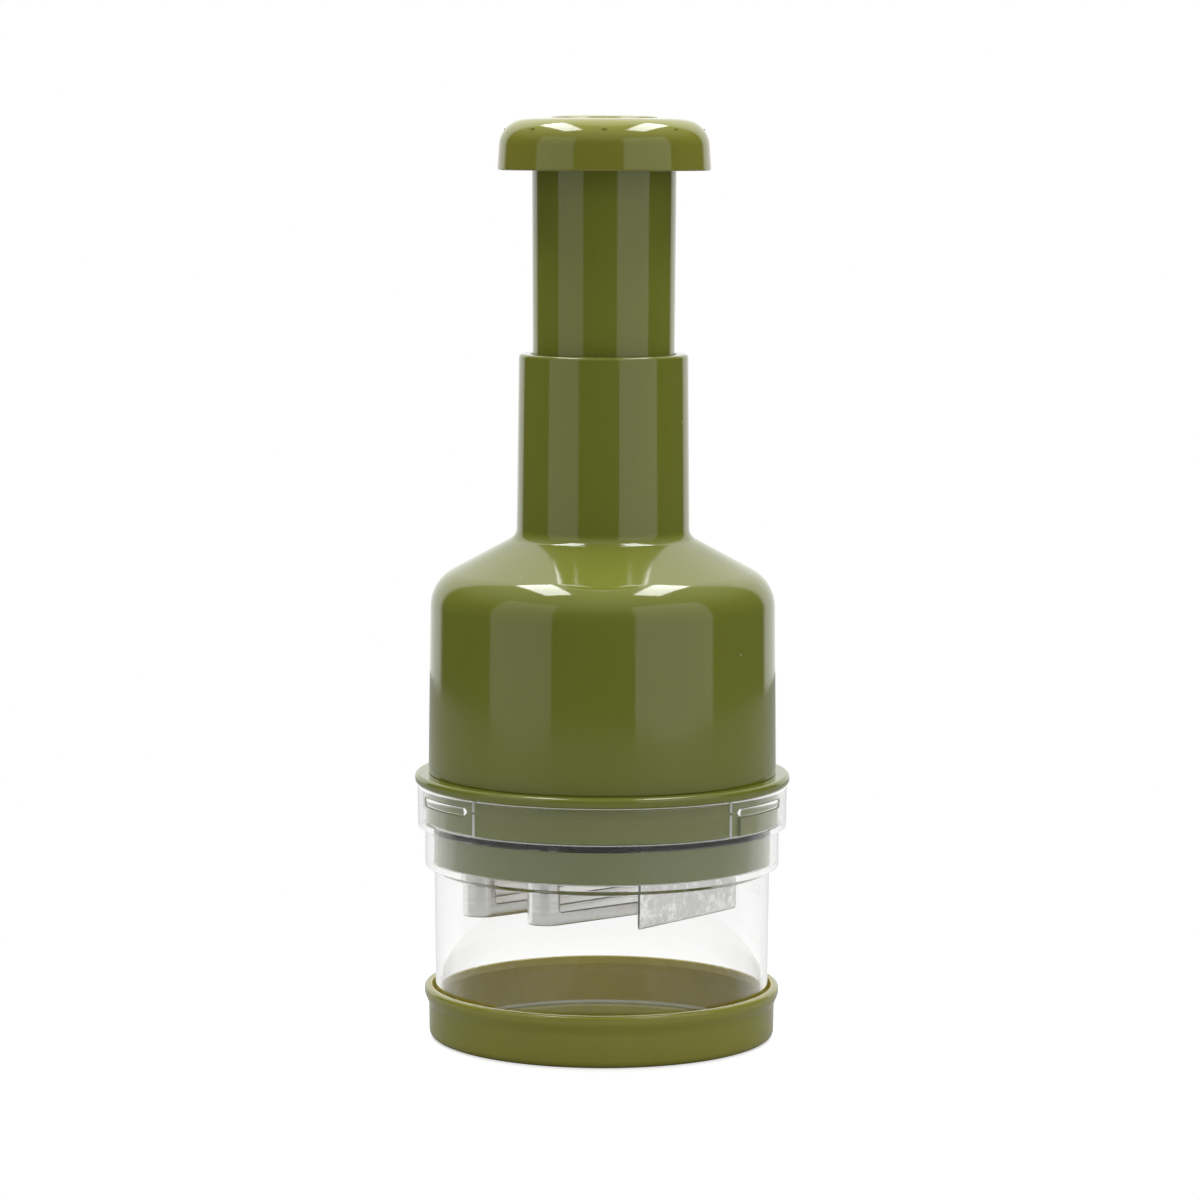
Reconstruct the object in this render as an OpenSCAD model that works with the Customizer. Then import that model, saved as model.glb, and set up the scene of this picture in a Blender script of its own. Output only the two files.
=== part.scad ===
// Plunger food chopper. Millimetres, +Z up, origin under the middle of the base cap, -Y is
// the front. It is drawn with the plunger up and the cup locked on.

/* [Base cap] */
// Wall thickness of the base cap
base_wall = 1.15; // [1:0.05:2]
// Height of the base cap
base_h = 12.8; // [10:0.2:18]
// Floor thickness of the base cap
base_floor = 1.5; // [1.2:0.1:3]
// How far the rolled lip stands out of the wall
base_lip = 1; // [0.6:0.05:2]
// Height of the rolled lip
base_lip_h = 3.4; // [2.4:0.1:5]

/* [Clear cup] */
// Outside diameter of the chopping wall
cup_d = 82; // [80:0.5:90]
// Wall thickness
cup_wall = 1.8; // [1.4:0.1:2.1]
// Height of the chopping room, from the base cap's floor to the wiper's ledge
cup_room = 42.4; // [40:0.2:54]
// How far the wiper's tier stands out of the chopping wall
tier_step = 2.3; // [2.1:0.1:3]
// Inside height of the wiper's tier
tier_h = 9.7; // [9:0.1:14]
// Inside height of the bayonet collar
collar_h = 8.9; // [6.2:0.1:10]

/* [Lock ring] */
// Thickness of the flange between the cup and the bell
flange_h = 2.5; // [2:0.1:4]
// How far the flange stands out of the collar
flange_overhang = 0.6; // [0.4:0.1:2]
// Angle that the cup turns to unlock
unlock_angle = 30; // [27:0.5:31]

/* [Bell] */
// Wall thickness
bell_wall = 2.2; // [1.8:0.1:2.5]
// Outside radius at the foot of the bell
bell_r = 42.5; // [42:0.1:44]
// Height from the flange to the corner of wall and shoulder
bell_h = 46.7; // [42:0.1:60]
// Slope of the shoulder above the horizontal
shoulder_angle = 28.4; // [26:0.2:31]
// Round between wall and shoulder
shoulder_round = 10; // [6:0.5:14]
// Outside radius of the neck at its foot
neck_r = 21.05; // [20.8:0.05:22]
// Height of the neck above the corner of shoulder and neck
neck_h = 44.2; // [36:0.2:60]

/* [Plunger] */
// Outside radius of the tube at the knob
tube_r = 17.45; // [17:0.05:17.8]
// Wall thickness of the tube
tube_wall = 2; // [1.8:0.1:2.2]
// Length of tube that shows between neck and knob
tube_show = 44.2; // [38:0.2:60]
// Travel of the plunger
stroke = 30; // [24:0.5:31]
// Outside radius of the knob
knob_r = 25.85; // [24:0.05:30]
// Height of the knob to its rim
knob_h = 12; // [11.5:0.1:16]

/* [Blade] */
// Thickness of the strip
blade_t = 0.55; // [0.4:0.05:0.7]
// Height of the cutting band under the windows
band_h = 3.1; // [2.5:0.1:4.5]
// Distance between the middles of neighbouring bends
leg_pitch = 9.5; // [9.3:0.05:9.6]
// Outside radius of a bend
bend_r = 4.45; // [4.2:0.05:4.5]
// Distance from the shaft to the middle of the farthest bend
blade_reach = 30; // [27:0.25:30.5]
// Direction of the legs seen from above
blade_turn = 41.2; // [0:0.1:90]

/* [Return spring] */
// Wire diameter
wire_d = 1.5; // [1.2:0.1:1.6]
// Mean radius of the coils
coil_r = 7.4; // [7.2:0.1:7.6]
// Number of turns
coil_turns = 17; // [12:1:19]

/* [Hidden] */

$fn = 96;
arc_steps = 10;
half_turn = 180;
quarter_turn = 90;

// Colours
green = [0.42, 0.44, 0.15];
inner_green = [0.36, 0.4, 0.16];
clear = [0.92, 0.94, 0.95, 0.35];
steel = [0.78, 0.79, 0.8];
rubber_grey = [0.25, 0.25, 0.25];

// Overrun of every cut, and the gaps of the fits
over = 1;
gap = 0.3;
running_gap = 0.08;
seat_gap = 0.05;

// Screws: one size for the inner pieces, one for the knob
screw_r = 1.4;
head_r = 2.6;
head_h = 2;
socket_r = 1.1;
socket_depth = 1.1;
knob_screw_r = 1.6;
knob_head_r = 3;
knob_head_h = 1.8;

// Base cap
cup_draft = 0.2;
base_gap = 0.35;
base_draft = 0.2;
base_round = 1.6;
lip_round = 0.6;
lip_slope = 0.6;
mouth_w = 0.5;
foot_w = 5;
foot_recess = 0.4;
cup_r = cup_d / 2;
base_bore_r = cup_r - cup_draft + base_gap;
base_r = base_bore_r + base_wall;
base_lip_r = base_r + base_draft + base_lip;
base_lip_z = base_h - base_lip_h;

// Clear cup
cup_bore_r = cup_r - cup_wall;
ledge_floor = 1.2;
ledge_slope = 2.6;
rim_round = 0.4;
ledge_z = base_floor + cup_room;
tier_r = cup_r + tier_step;
tier_bore_r = tier_r - cup_wall;
tier_z = ledge_z + tier_h;
collar_step = 0.2;
collar_wall = 1.7;
collar_web = 1.4;
collar_lean = 0.15;
collar_bore_r = tier_r + collar_step;
collar_r = collar_bore_r + collar_wall;
collar_z = tier_z + collar_h;
pocket_depth = 0.8;
pocket_angle = 93;
pocket_floor = 0.1;
rib_angle = 23;
rib_h = 2;
rib_drop = 2.9;
rib_z = collar_z - rib_drop;
rib_tip_r = collar_bore_r;
pocket_r = collar_bore_r + pocket_depth;

// Lock ring
flange_gap = 0.2;
flange_round = 0.9;
flange_z = collar_z + flange_gap;
bell_z = flange_z + flange_h;
flange_r = collar_r + flange_overhang;
skirt_r = collar_bore_r - gap;
skirt_z = tier_z + gap;
skirt_wall = 2.3;
skirt_bore_r = skirt_r - skirt_wall;
lug_angle = 24;
lug_r = pocket_r - gap;
lug_h = rib_z - rib_h / 2 - gap - skirt_z;
ring_lip = 1;
ring_lip_h = 1.5;
spigot_h = 6;
spigot_wall = 2;
spigot_gap = 0.2;
bead_r = 0.45;
bead_share = 0.67;
bead_z = bell_z + spigot_h * bead_share;
spigot_r = bell_r - bell_wall - spigot_gap;
ring_slope = 2.8;
ring_slope_lift = 0.8;
bead_gap = 0.1;

// Bell: the corners of its outline, and the ledge inside that stops the plunger
bell_draft = 0.55;
neck_draft = 0.5;
neck_wall = 1.95;
neck_fillet = 3.2;
neck_edge = 0.8;
neck_lip_h = 3;
stop_depth = 4.2;
shoulder_r = bell_r - bell_draft;
shoulder_z = bell_z + bell_h;
neck_foot_z = shoulder_z + (shoulder_r - neck_r) * tan(shoulder_angle);
neck_z = neck_foot_z + neck_h;
neck_top_r = neck_r - neck_draft;
neck_bore_r = neck_top_r - neck_wall;
neck_lip_r = tube_r + gap;
shoulder_drop = bell_wall / cos(shoulder_angle);
shoulder_turn = quarter_turn - shoulder_angle;
stop_z = neck_foot_z - stop_depth;
stop_r = neck_r + (stop_depth - shoulder_drop) / tan(shoulder_angle);

// Plunger stack under the ledge
washer_h = 1.2;
washer_inset = 0.3;
stop_collar_h = 2.5;
tube_tail = 7.2;
tube_draft = 0.5;
crown_rim_h = 1.5;
crown_plug_h = 10;
crown_plug_gap = 0.1;
crown_inset = 0.7;
stop_collar_z = stop_z - gap - washer_h - stop_collar_h;
tube_z = stop_collar_z - tube_tail;
tube_end_r = tube_r - tube_draft;
tube_bore_r = tube_end_r - tube_wall;
stop_collar_inset = 1.9;
stop_collar_r = stop_r - stop_collar_inset;
stop_collar_top = stop_collar_z + stop_collar_h;
washer_bore_r = tube_end_r + washer_inset;

// Crowns: rings of teeth that turn the blade a step with each press
tooth_count = 12;
tooth_h = 2.5;
tooth_gap = 0.3;
ridge_share = 0.3;
inner_tooth_w = 3.3;
outer_tooth_w = 6.4;
tooth_step = 360 / tooth_count;
rotor_disc_h = 3;
drive_z = tube_z - crown_rim_h;
mesh_z = drive_z - tooth_h - tooth_gap;
rotor_z = mesh_z - rotor_disc_h;
shaft_r = 11;
shaft_wall = 1.8;
shaft_step = 1.5;
drive_bore_r = shaft_r + running_gap;
drive_r = tube_end_r - crown_inset;
index_bore_r = stop_collar_r + gap;
index_tooth_len = 4.5;
index_rim = 0.8;
index_h = 3.7;
index_z = drive_z;
index_r = index_bore_r + index_tooth_len + index_rim;
rotor_rim = 0.2;
rotor_r = index_bore_r + index_tooth_len + rotor_rim;
index_top_z = index_z + index_h;
boss_r = 3.4;
boss_reach = index_r + boss_r;
boss_count = 3;
boss_turn = 30;
ear_overlap = 1.5;
screw_gap = 0.15;
index_screw_bite = 4.5;
pilot_end = 0.3;
tongue_w = 4;
tongue_h = 1.8;
tongue_depth = 0.75;
tongue_r = tube_end_r - tongue_depth;

// Knob
knob_draft = 0.75;
knob_round = 4.5;
knob_edge = 0.5;
knob_wall = 2.2;
knob_dome = 0.7;
knob_socket_h = 7.8;
knob_pad_h = 1.2;
knob_hub_wall = 2.1;
knob_hub_lift = 1;
knob_rib_t = 1.2;
knob_rib_lift = 3.5;
knob_rib_count = 8;
cap_r = 13;
cap_edge_h = 1.95;
cap_dome = 0.55;
cap_round = 0.35;
knob_z = neck_z + tube_show;
knob_rim_z = knob_z + knob_h;
pad_z = knob_z + knob_socket_h;
cap_gap = 0.1;
cap_z = pad_z + knob_pad_h + knob_head_h + cap_gap;
end_wall = 2.5;
end_boss_r = 4.2;
end_boss_h = 10;
knob_screw_bite = 11;

// Rings in each turn of the spring, sides of its wire and space between its end turns
curl_rings = 8;
wire_sides = 6;
coil_space = 0.5;

// Wiper plate and spring seat
wiper_t = 2.4;
wiper_wall = 1.8;
wiper_r = tier_bore_r - gap;
wiper_shake = 1.6;
wiper_z = tier_z - wiper_shake;
slot_gap = 0.4;
seat_r = 9;
seat_h = 0.9;
seat_pin_r = (coil_r - wire_d / 2) * cos(half_turn / curl_rings) - gap;
seat_pin_chamfer = 0.5;
seat_pin_h = 3.6;
seat_z = ledge_z + wiper_t + seat_h;

// Blade shaft, carrier and spring room
carrier_gap = 0.7;
carrier_h = 4.2;
carrier_r = 37;
carrier_rim = 0.8;
tab_seat = 3;
edge_gap = 0.5;
shaft_flange_r = 20;
shaft_flange_h = 2.5;
carrier_screw_r = 16.4;
carrier_screw_count = 4;
carrier_screw_turn = 45;
shaft_end_wall = 3;
shaft_rise = 34;
spring_washer_t = 1;
spring_collar_h = 2.5;
spring_washer_bore = 4.5;
spring_washer_gap = 0.25;
shaft_chamfer = 0.8;
carrier_bore_gap = 0.1;
pilot_floor = 0.7;
carrier_z = seat_z + stroke + carrier_gap;
flange_top_z = carrier_z + carrier_h + shaft_flange_h;
shaft_bore_r = shaft_r - shaft_wall;
shaft_end_z = stop_z + shaft_rise;
spring_top_z = shaft_end_z - shaft_end_wall - spring_washer_t;
lower_shaft_r = shaft_r + shaft_step;
carrier_top_z = carrier_z + carrier_h;

// Blade: reach of the middles of the bends and of both free ends, in shares of blade_reach
bend_shares = [0.71, -0.863, 0.93, -1, 0.72];
first_end_shares = [-0.503, -1.013];
last_end_shares = [-0.807, 0.787];
tab_lap = 0.6;
edge_z = base_floor + edge_gap + stroke;
tab_z = carrier_z + tab_seat;
strip_r = bend_r - blade_t / 2;
last_stop = len(bend_shares) + 1;

// Points on an arc round c
function arc(c, r, a0, a1) =
    [for (i = [0:arc_steps]) let (a = a0 + (a1 - a0) * i / arc_steps) c + r * [cos(a), sin(a)]];

// Direction a, and the direction to its left
function along(a) = [cos(a), sin(a)];
function left(a) = [-sin(a), cos(a)];

// A round cylinder from level z0 to level z1
module rod(r, z0, z1) {
    translate([0, 0, z0]) cylinder(r = r, h = z1 - z0);
}

// Copies on a circle
module round_about(count, r, turn = 0) {
    for (i = [0:count - 1]) rotate([0, 0, turn + i * 360 / count]) translate([r, 0, 0]) children();
}

// Screw with its head's top at z = 0 and its shank hanging down
module screw(shank_r, top_r, top_h, length) {
    difference() {
        union() {
            rod(top_r, -top_h, 0);
            rod(shank_r, -top_h - length, -top_h);
        }
        rod(socket_r, -socket_depth, over);
    }
}

// Ring of ramped teeth that stand up from z = 0
module teeth(r0, r1, w) {
    for (i = [0:tooth_count - 1]) rotate([0, 0, i * tooth_step]) translate([r0, 0, 0])
        rotate([quarter_turn, 0, quarter_turn]) linear_extrude(height = r1 - r0)
            polygon([[-w / 2, 0], [w / 2, 0], [w * ridge_share, tooth_h]]);
}

// The same teeth hanging from level z, turned half a step so that they mesh
module hanging_teeth(r0, r1, w, z) {
    translate([0, 0, z]) rotate([0, 0, tooth_step / 2]) rotate([half_turn, 0, 0]) teeth(r0, r1, w);
}

// Dish with a rolled lip. It stands on a foot ring.
module base_cap() {
    wall_r = base_r + base_draft;
    color(green) rotate_extrude() polygon(concat(
        [[0, foot_recess], [base_r - foot_w, foot_recess], [base_r - foot_w, 0]],
        arc([base_r - base_round, base_round], base_round, -quarter_turn, 0),
        [[wall_r, base_lip_z], [base_lip_r, base_lip_z + lip_slope]],
        arc([base_lip_r - lip_round, base_h - lip_round], lip_round, 0, quarter_turn),
        [[base_bore_r + mouth_w, base_h], [base_bore_r, base_h - base_lip_h / 2],
         [base_bore_r, base_floor], [0, base_floor]]));
}

// Clear wall in three tiers, open at both ends
module clear_cup() {
    underside_z = ledge_z - ledge_floor;
    web_z = tier_z - collar_web;
    color(clear) difference() {
        rotate_extrude() polygon(concat(
            [[cup_bore_r, base_floor], [cup_r - cup_draft - rim_round, base_floor],
             [cup_r - cup_draft, base_floor + rim_round],
             [cup_r, underside_z - ledge_slope], [tier_r - rim_round, underside_z - rim_round],
             [tier_r, underside_z], [tier_r, web_z], [collar_r - collar_lean - rim_round, web_z],
             [collar_r - collar_lean, web_z + rim_round]],
            arc([collar_r - rim_round, collar_z - rim_round], rim_round, 0, quarter_turn),
            [[collar_bore_r, collar_z], [collar_bore_r, tier_z], [tier_bore_r, tier_z],
             [tier_bore_r, ledge_z], [cup_bore_r, ledge_z]]));
        for (side = [0, half_turn]) rotate([0, 0, side - pocket_angle / 2])
            rotate_extrude(angle = pocket_angle)
                translate([tier_r, tier_z + pocket_floor])
                    square([pocket_r - tier_r, collar_h + over]);
    }
    color(clear) for (side = [0, half_turn], half = [-1, 1])
        rotate([0, 0, side + half * unlock_angle]) bayonet_rib();
}

// Raised rib with round ends on the wall of a bayonet pocket, centred on the X axis
module bayonet_rib() {
    depth = pocket_r - rib_tip_r + seat_gap;
    rotate([0, 0, -rib_angle / 2]) rotate_extrude(angle = rib_angle)
        translate([rib_tip_r, rib_z - rib_h / 2]) square([depth, rib_h]);
    for (end = [-1, 1]) rotate([0, 0, end * rib_angle / 2]) translate([rib_tip_r, 0, rib_z])
        rotate([0, quarter_turn, 0]) cylinder(r = rib_h / 2, h = depth);
}

// Flange, skirt with two lugs that lock under the cup's ribs, and spigot that snaps into the bell
module lock_ring() {
    lip_bore_r = skirt_bore_r - ring_lip;
    spigot_bore_r = spigot_r - spigot_wall;
    spigot_z = bell_z + spigot_h;
    color(green) {
        rotate_extrude() polygon(concat(
            [[lip_bore_r, skirt_z], [skirt_r, skirt_z], [skirt_r, flange_z]],
            arc([flange_r - flange_round, flange_z + flange_round], flange_round, -quarter_turn, 0),
            arc([flange_r - flange_round, bell_z - flange_round], flange_round, 0, quarter_turn),
            [[spigot_r, bell_z], [spigot_r, spigot_z], [spigot_bore_r, spigot_z],
             [spigot_bore_r, flange_z + ring_slope_lift],
             [skirt_bore_r, flange_z + ring_slope_lift - ring_slope],
             [skirt_bore_r, skirt_z + ring_lip_h + ring_lip], [lip_bore_r, skirt_z + ring_lip_h]]));
        rotate_extrude() translate([spigot_r, bead_z]) circle(r = bead_r);
        for (side = [0, half_turn]) rotate([0, 0, side - unlock_angle - lug_angle / 2])
            rotate_extrude(angle = lug_angle) translate([skirt_bore_r, skirt_z])
                square([lug_r - skirt_bore_r, lug_h]);
    }
}

// Moulded shell: wall, shoulder and neck, with the plunger's stop ledge and three screw bosses
module bell_housing() {
    shoulder_c = [shoulder_r - shoulder_round, shoulder_z - shoulder_round * tan(shoulder_turn / 2)];
    fillet_c = [neck_r + neck_fillet, neck_foot_z + neck_fillet * tan(shoulder_turn / 2)];
    lip_z = neck_z - neck_lip_h;
    color(green) difference() {
        rotate_extrude() polygon(concat(
            [[0, bell_z], [bell_r, bell_z]],
            arc(shoulder_c, shoulder_round, 0, shoulder_turn),
            arc(fillet_c, neck_fillet, half_turn + shoulder_turn, half_turn),
            arc([neck_top_r - neck_edge, neck_z - neck_edge], neck_edge, 0, quarter_turn),
            [[0, neck_z]]));
        difference() {
            rotate_extrude() polygon(concat(
                [[0, bell_z - over], [bell_r - bell_wall, bell_z - over],
                 [bell_r - bell_wall, bell_z]],
                arc(shoulder_c, shoulder_round - bell_wall, 0, shoulder_turn),
                [[stop_r, stop_z], [neck_bore_r, stop_z],
                 [neck_bore_r, lip_z - (neck_bore_r - neck_lip_r)], [neck_lip_r, lip_z],
                 [neck_lip_r, neck_z + over], [0, neck_z + over]]));
            round_about(boss_count, boss_reach, boss_turn) rod(boss_r, index_top_z, neck_z);
        }
        rotate_extrude() translate([spigot_r, bead_z]) circle(r = bead_r + bead_gap);
        round_about(boss_count, boss_reach, boss_turn)
            rod(screw_r + seat_gap, index_top_z - over, index_top_z + index_screw_bite + pilot_end);
    }
}

// Toothed ring round the plunger's collar, with two tongues in the plunger's grooves
module index_ring() {
    color(inner_green) difference() {
        union() {
            rod(index_r, index_z, index_top_z);
            round_about(boss_count, boss_reach, boss_turn) rod(boss_r, index_z, index_top_z);
            round_about(boss_count, index_r - ear_overlap, boss_turn)
                translate([0, -boss_r, index_z])
                    cube([boss_r + ear_overlap, 2 * boss_r, index_h]);
        }
        rod(index_bore_r, index_z - over, index_top_z + over);
        round_about(boss_count, boss_reach, boss_turn)
            rod(screw_r + screw_gap, index_z - over, index_top_z + over);
    }
    color(inner_green) {
        hanging_teeth(index_bore_r, index_bore_r + index_tooth_len, outer_tooth_w, index_z);
        round_about(2, tongue_r) translate([0, -tongue_w / 2, index_top_z - tongue_h])
            cube([index_bore_r + index_rim - tongue_r, tongue_w, tongue_h]);
    }
}

// Three screws that hold the index ring to the bell's bosses
module index_screws() {
    color(steel) round_about(boss_count, boss_reach, boss_turn)
        translate([0, 0, index_z - head_h]) rotate([half_turn, 0, 0])
            screw(screw_r, head_r, head_h, index_h + index_screw_bite);
}

// Grooves for the two tongues, long enough for the whole stroke
module tongue_grooves() {
    round_about(2, tongue_r - gap) translate([0, -tongue_w / 2 - gap, tube_z - over])
        cube([stop_collar_r, tongue_w + 2 * gap, index_top_z + stroke + gap + over - tube_z]);
}

// Tapered tube with a stop collar, closed at the top round a screw boss
module plunger_tube() {
    end_z = pad_z - end_wall;
    boss_z = end_z - end_boss_h;
    color(green) difference() {
        rotate_extrude() polygon([
            [tube_bore_r, tube_z], [tube_end_r, tube_z], [tube_end_r, stop_collar_z],
            [stop_collar_r, stop_collar_z], [stop_collar_r, stop_collar_top],
            [tube_end_r, stop_collar_top], [tube_r, knob_z], [tube_r, pad_z], [0, pad_z],
            [0, boss_z], [end_boss_r, boss_z], [end_boss_r, end_z], [tube_r - tube_wall, end_z]]);
        rod(knob_screw_r + seat_gap, boss_z - over, pad_z + over);
        tongue_grooves();
    }
}

// Toothed plug in the tube's lower end. Its bore is the blade shaft's bearing.
module drive_crown() {
    color(inner_green) {
        difference() {
            union() {
                rod(drive_r, drive_z, tube_z);
                rod(tube_bore_r - crown_plug_gap, tube_z, tube_z + crown_plug_h);
            }
            rod(drive_bore_r, drive_z - over, tube_z + crown_plug_h + over);
        }
        hanging_teeth(drive_bore_r + seat_gap, drive_r, inner_tooth_w, drive_z);
    }
}

// Soft ring that quiets the plunger's stop
module stop_washer() {
    color(rubber_grey) difference() {
        rod(stop_collar_r - washer_inset, stop_collar_top, stop_collar_top + washer_h);
        rod(washer_bore_r, stop_collar_top - over, stop_collar_top + washer_h + over);
        tongue_grooves();
    }
}

// Mushroom knob: a shell with a ribbed socket for the tube
module knob() {
    side_r = knob_r - knob_draft;
    round_c = [side_r - knob_round, knob_rim_z - knob_round];
    roof_z = knob_rim_z - knob_wall;
    hub_r = tube_r + knob_hub_wall;
    color(green) difference() {
        rotate_extrude() polygon(concat(
            [[0, knob_z], [knob_r - knob_edge, knob_z], [knob_r, knob_z + knob_edge]],
            arc(round_c, knob_round, 0, quarter_turn),
            [[cap_r, knob_rim_z + knob_dome], [0, knob_rim_z + knob_dome]]));
        difference() {
            rotate_extrude() polygon(concat(
                [[0, knob_z - over], [knob_r - knob_wall, knob_z - over],
                 [knob_r - knob_wall, knob_z]],
                arc(round_c, knob_round - knob_wall, 0, quarter_turn),
                [[0, roof_z]]));
            difference() {
                union() {
                    rod(hub_r, knob_z + knob_hub_lift, knob_rim_z);
                    round_about(knob_rib_count, tube_r + seat_gap)
                        translate([0, -knob_rib_t / 2, knob_z + knob_rib_lift])
                            cube([knob_r - tube_r, knob_rib_t, knob_h - knob_rib_lift]);
                }
                rod(tube_r + seat_gap, knob_z, pad_z);
            }
        }
        rod(cap_r + seat_gap, cap_z, knob_rim_z + knob_dome + over);
        rod(knob_head_r + screw_gap, pad_z + knob_pad_h, cap_z + over);
        rod(knob_screw_r + screw_gap, pad_z - over, cap_z);
    }
}

// Low domed disc that hides the knob's screw
module knob_cap() {
    top_r = cap_r - cap_round;
    edge_z = cap_z + cap_edge_h;
    color(green) rotate_extrude() polygon(concat(
        [[0, cap_z], [cap_r, cap_z], [cap_r, edge_z - cap_round]],
        [for (i = [0:arc_steps]) let (share = 1 - i / arc_steps)
            [top_r * share, edge_z + cap_dome * (1 - share * share)]]));
}

// Screw through the knob into the tube's end
module knob_screw() {
    color(steel) translate([0, 0, cap_z - cap_gap])
        screw(knob_screw_r, knob_head_r, knob_head_h, knob_pad_h + knob_screw_bite);
}

// Hollow spindle over the spring, with a flange on the carrier and a closed top
module blade_shaft() {
    color(inner_green) difference() {
        rotate_extrude() polygon([
            [shaft_bore_r, carrier_top_z], [shaft_flange_r, carrier_top_z],
            [shaft_flange_r, flange_top_z], [lower_shaft_r, flange_top_z],
            [lower_shaft_r, rotor_z], [shaft_r, rotor_z], [shaft_r, shaft_end_z - shaft_chamfer],
            [shaft_r - shaft_chamfer, shaft_end_z], [0, shaft_end_z],
            [0, shaft_end_z - shaft_end_wall], [shaft_bore_r, shaft_end_z - shaft_end_wall]]);
        round_about(carrier_screw_count, carrier_screw_r, carrier_screw_turn)
            rod(screw_r + screw_gap, carrier_top_z - over, flange_top_z + over);
    }
}

// Toothed disc on the shaft: the inner teeth meet the drive crown, the outer ones the index ring
module rotor_crown() {
    color(inner_green) {
        difference() {
            rod(rotor_r, rotor_z, mesh_z);
            rod(shaft_r + seat_gap, rotor_z - over, mesh_z + over);
        }
        translate([0, 0, mesh_z]) {
            teeth(drive_bore_r + seat_gap, drive_r, inner_tooth_w);
            teeth(index_bore_r, index_bore_r + index_tooth_len, outer_tooth_w);
        }
    }
}

// Disc moulded round the blade's upright tabs
module blade_carrier() {
    color(inner_green) difference() {
        rotate_extrude() polygon([
            [shaft_bore_r + carrier_bore_gap, carrier_z], [carrier_r - carrier_rim, carrier_z],
            [carrier_r, carrier_z + carrier_rim], [carrier_r, carrier_top_z - carrier_rim],
            [carrier_r - carrier_rim, carrier_top_z],
            [shaft_bore_r + carrier_bore_gap, carrier_top_z]]);
        blade_tabs(carrier_z - over, tab_z + seat_gap, seat_gap, seat_gap);
        round_about(carrier_screw_count, carrier_screw_r, carrier_screw_turn)
            rod(screw_r + seat_gap, carrier_z + pilot_floor, carrier_top_z + over);
    }
}

// Four screws that hold the shaft's flange to the carrier
module carrier_screws() {
    color(steel) round_about(carrier_screw_count, carrier_screw_r, carrier_screw_turn)
        translate([0, 0, flange_top_z + head_h])
            screw(screw_r, head_r, head_h, shaft_flange_h + carrier_h - 2 * pilot_floor);
}

// The strip's middle line: its stops are the first free end, the five bends and the last end.
function stop_at(i) =
    i == 0 ? blade_reach * first_end_shares
    : i == last_stop ? blade_reach * last_end_shares
    : [blade_reach * bend_shares[i - 1], leg_pitch * (i - (last_stop / 2))];

// Signed radius at a stop: bends turn left and right by turns, and the ends don't turn
function turn_r(i) = i == 0 || i == last_stop ? 0 : i % 2 == 1 ? strip_r : -strip_r;

// Direction of the leg from stop i to the next one, tangent to both bends
function leg_angle(i) =
    let (d = stop_at(i + 1) - stop_at(i))
    atan2(d.y, d.x) + asin((turn_r(i) - turn_r(i + 1)) / norm(d));

// Point of the middle line at stop i where it runs in direction a
function strip_point(i, a) = stop_at(i) - turn_r(i) * left(a);

// Rows of [point, direction] round bend i
function bend_rows(i) =
    let (a0 = leg_angle(i - 1), sense = turn_r(i) > 0 ? 1 : -1,
         swing = sense * ((sense * (leg_angle(i) - a0) + 4 * half_turn) % (2 * half_turn)))
    [for (k = [0:arc_steps]) let (a = a0 + swing * k / arc_steps) [strip_point(i, a), a]];

// Rows of the upright tab at bend i. The first and the last tab take in the whole end leg.
function tab_rows(i, extra) =
    let (a0 = leg_angle(i - 1), a1 = leg_angle(i), lap = tab_lap + extra,
         start = i == 1 ? stop_at(0) - extra * along(a0) : strip_point(i, a0) - lap * along(a0),
         end = i == last_stop - 1 ? stop_at(last_stop) + extra * along(a1)
             : strip_point(i, a1) + lap * along(a1))
    concat([[start, a0]], bend_rows(i), [[end, a1]]);

// Outline at distance e on both sides of the middle line
function ribbon(rows, e) = concat(
    [for (row = rows) row[0] + e * left(row[1])],
    [for (k = [len(rows) - 1:-1:0]) rows[k][0] - e * left(rows[k][1])]);

// The tabs' footprint between two levels, widened by side and lengthened by extra
module blade_tabs(z0, z1, side, extra) {
    rotate([0, 0, blade_turn]) translate([0, 0, z0]) for (i = [1:last_stop - 1])
        linear_extrude(height = z1 - z0) polygon(ribbon(tab_rows(i, extra), blade_t / 2 + side));
}

// One strip bent to and fro: full-height bends and end legs, with windows over a cutting band
module zigzag_blade() {
    rows = concat([[stop_at(0), leg_angle(0)]],
        [for (i = [1:last_stop - 1]) each bend_rows(i)],
        [[stop_at(last_stop), leg_angle(last_stop - 1)]]);
    color(steel) {
        rotate([0, 0, blade_turn]) translate([0, 0, edge_z])
            linear_extrude(height = band_h) polygon(ribbon(rows, blade_t / 2));
        blade_tabs(edge_z, tab_z, 0, 0);
    }
}

// Thrust washer between the spring's top coil and the shaft's closed end
module spring_washer() {
    top_z = spring_top_z + spring_washer_t;
    color(steel) difference() {
        union() {
            rod(shaft_bore_r - spring_washer_gap, spring_top_z, top_z);
            rod(seat_pin_r, spring_top_z - spring_collar_h, spring_top_z);
        }
        rod(spring_washer_bore, spring_top_z - spring_collar_h - over, top_z + over);
    }
}

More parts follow.
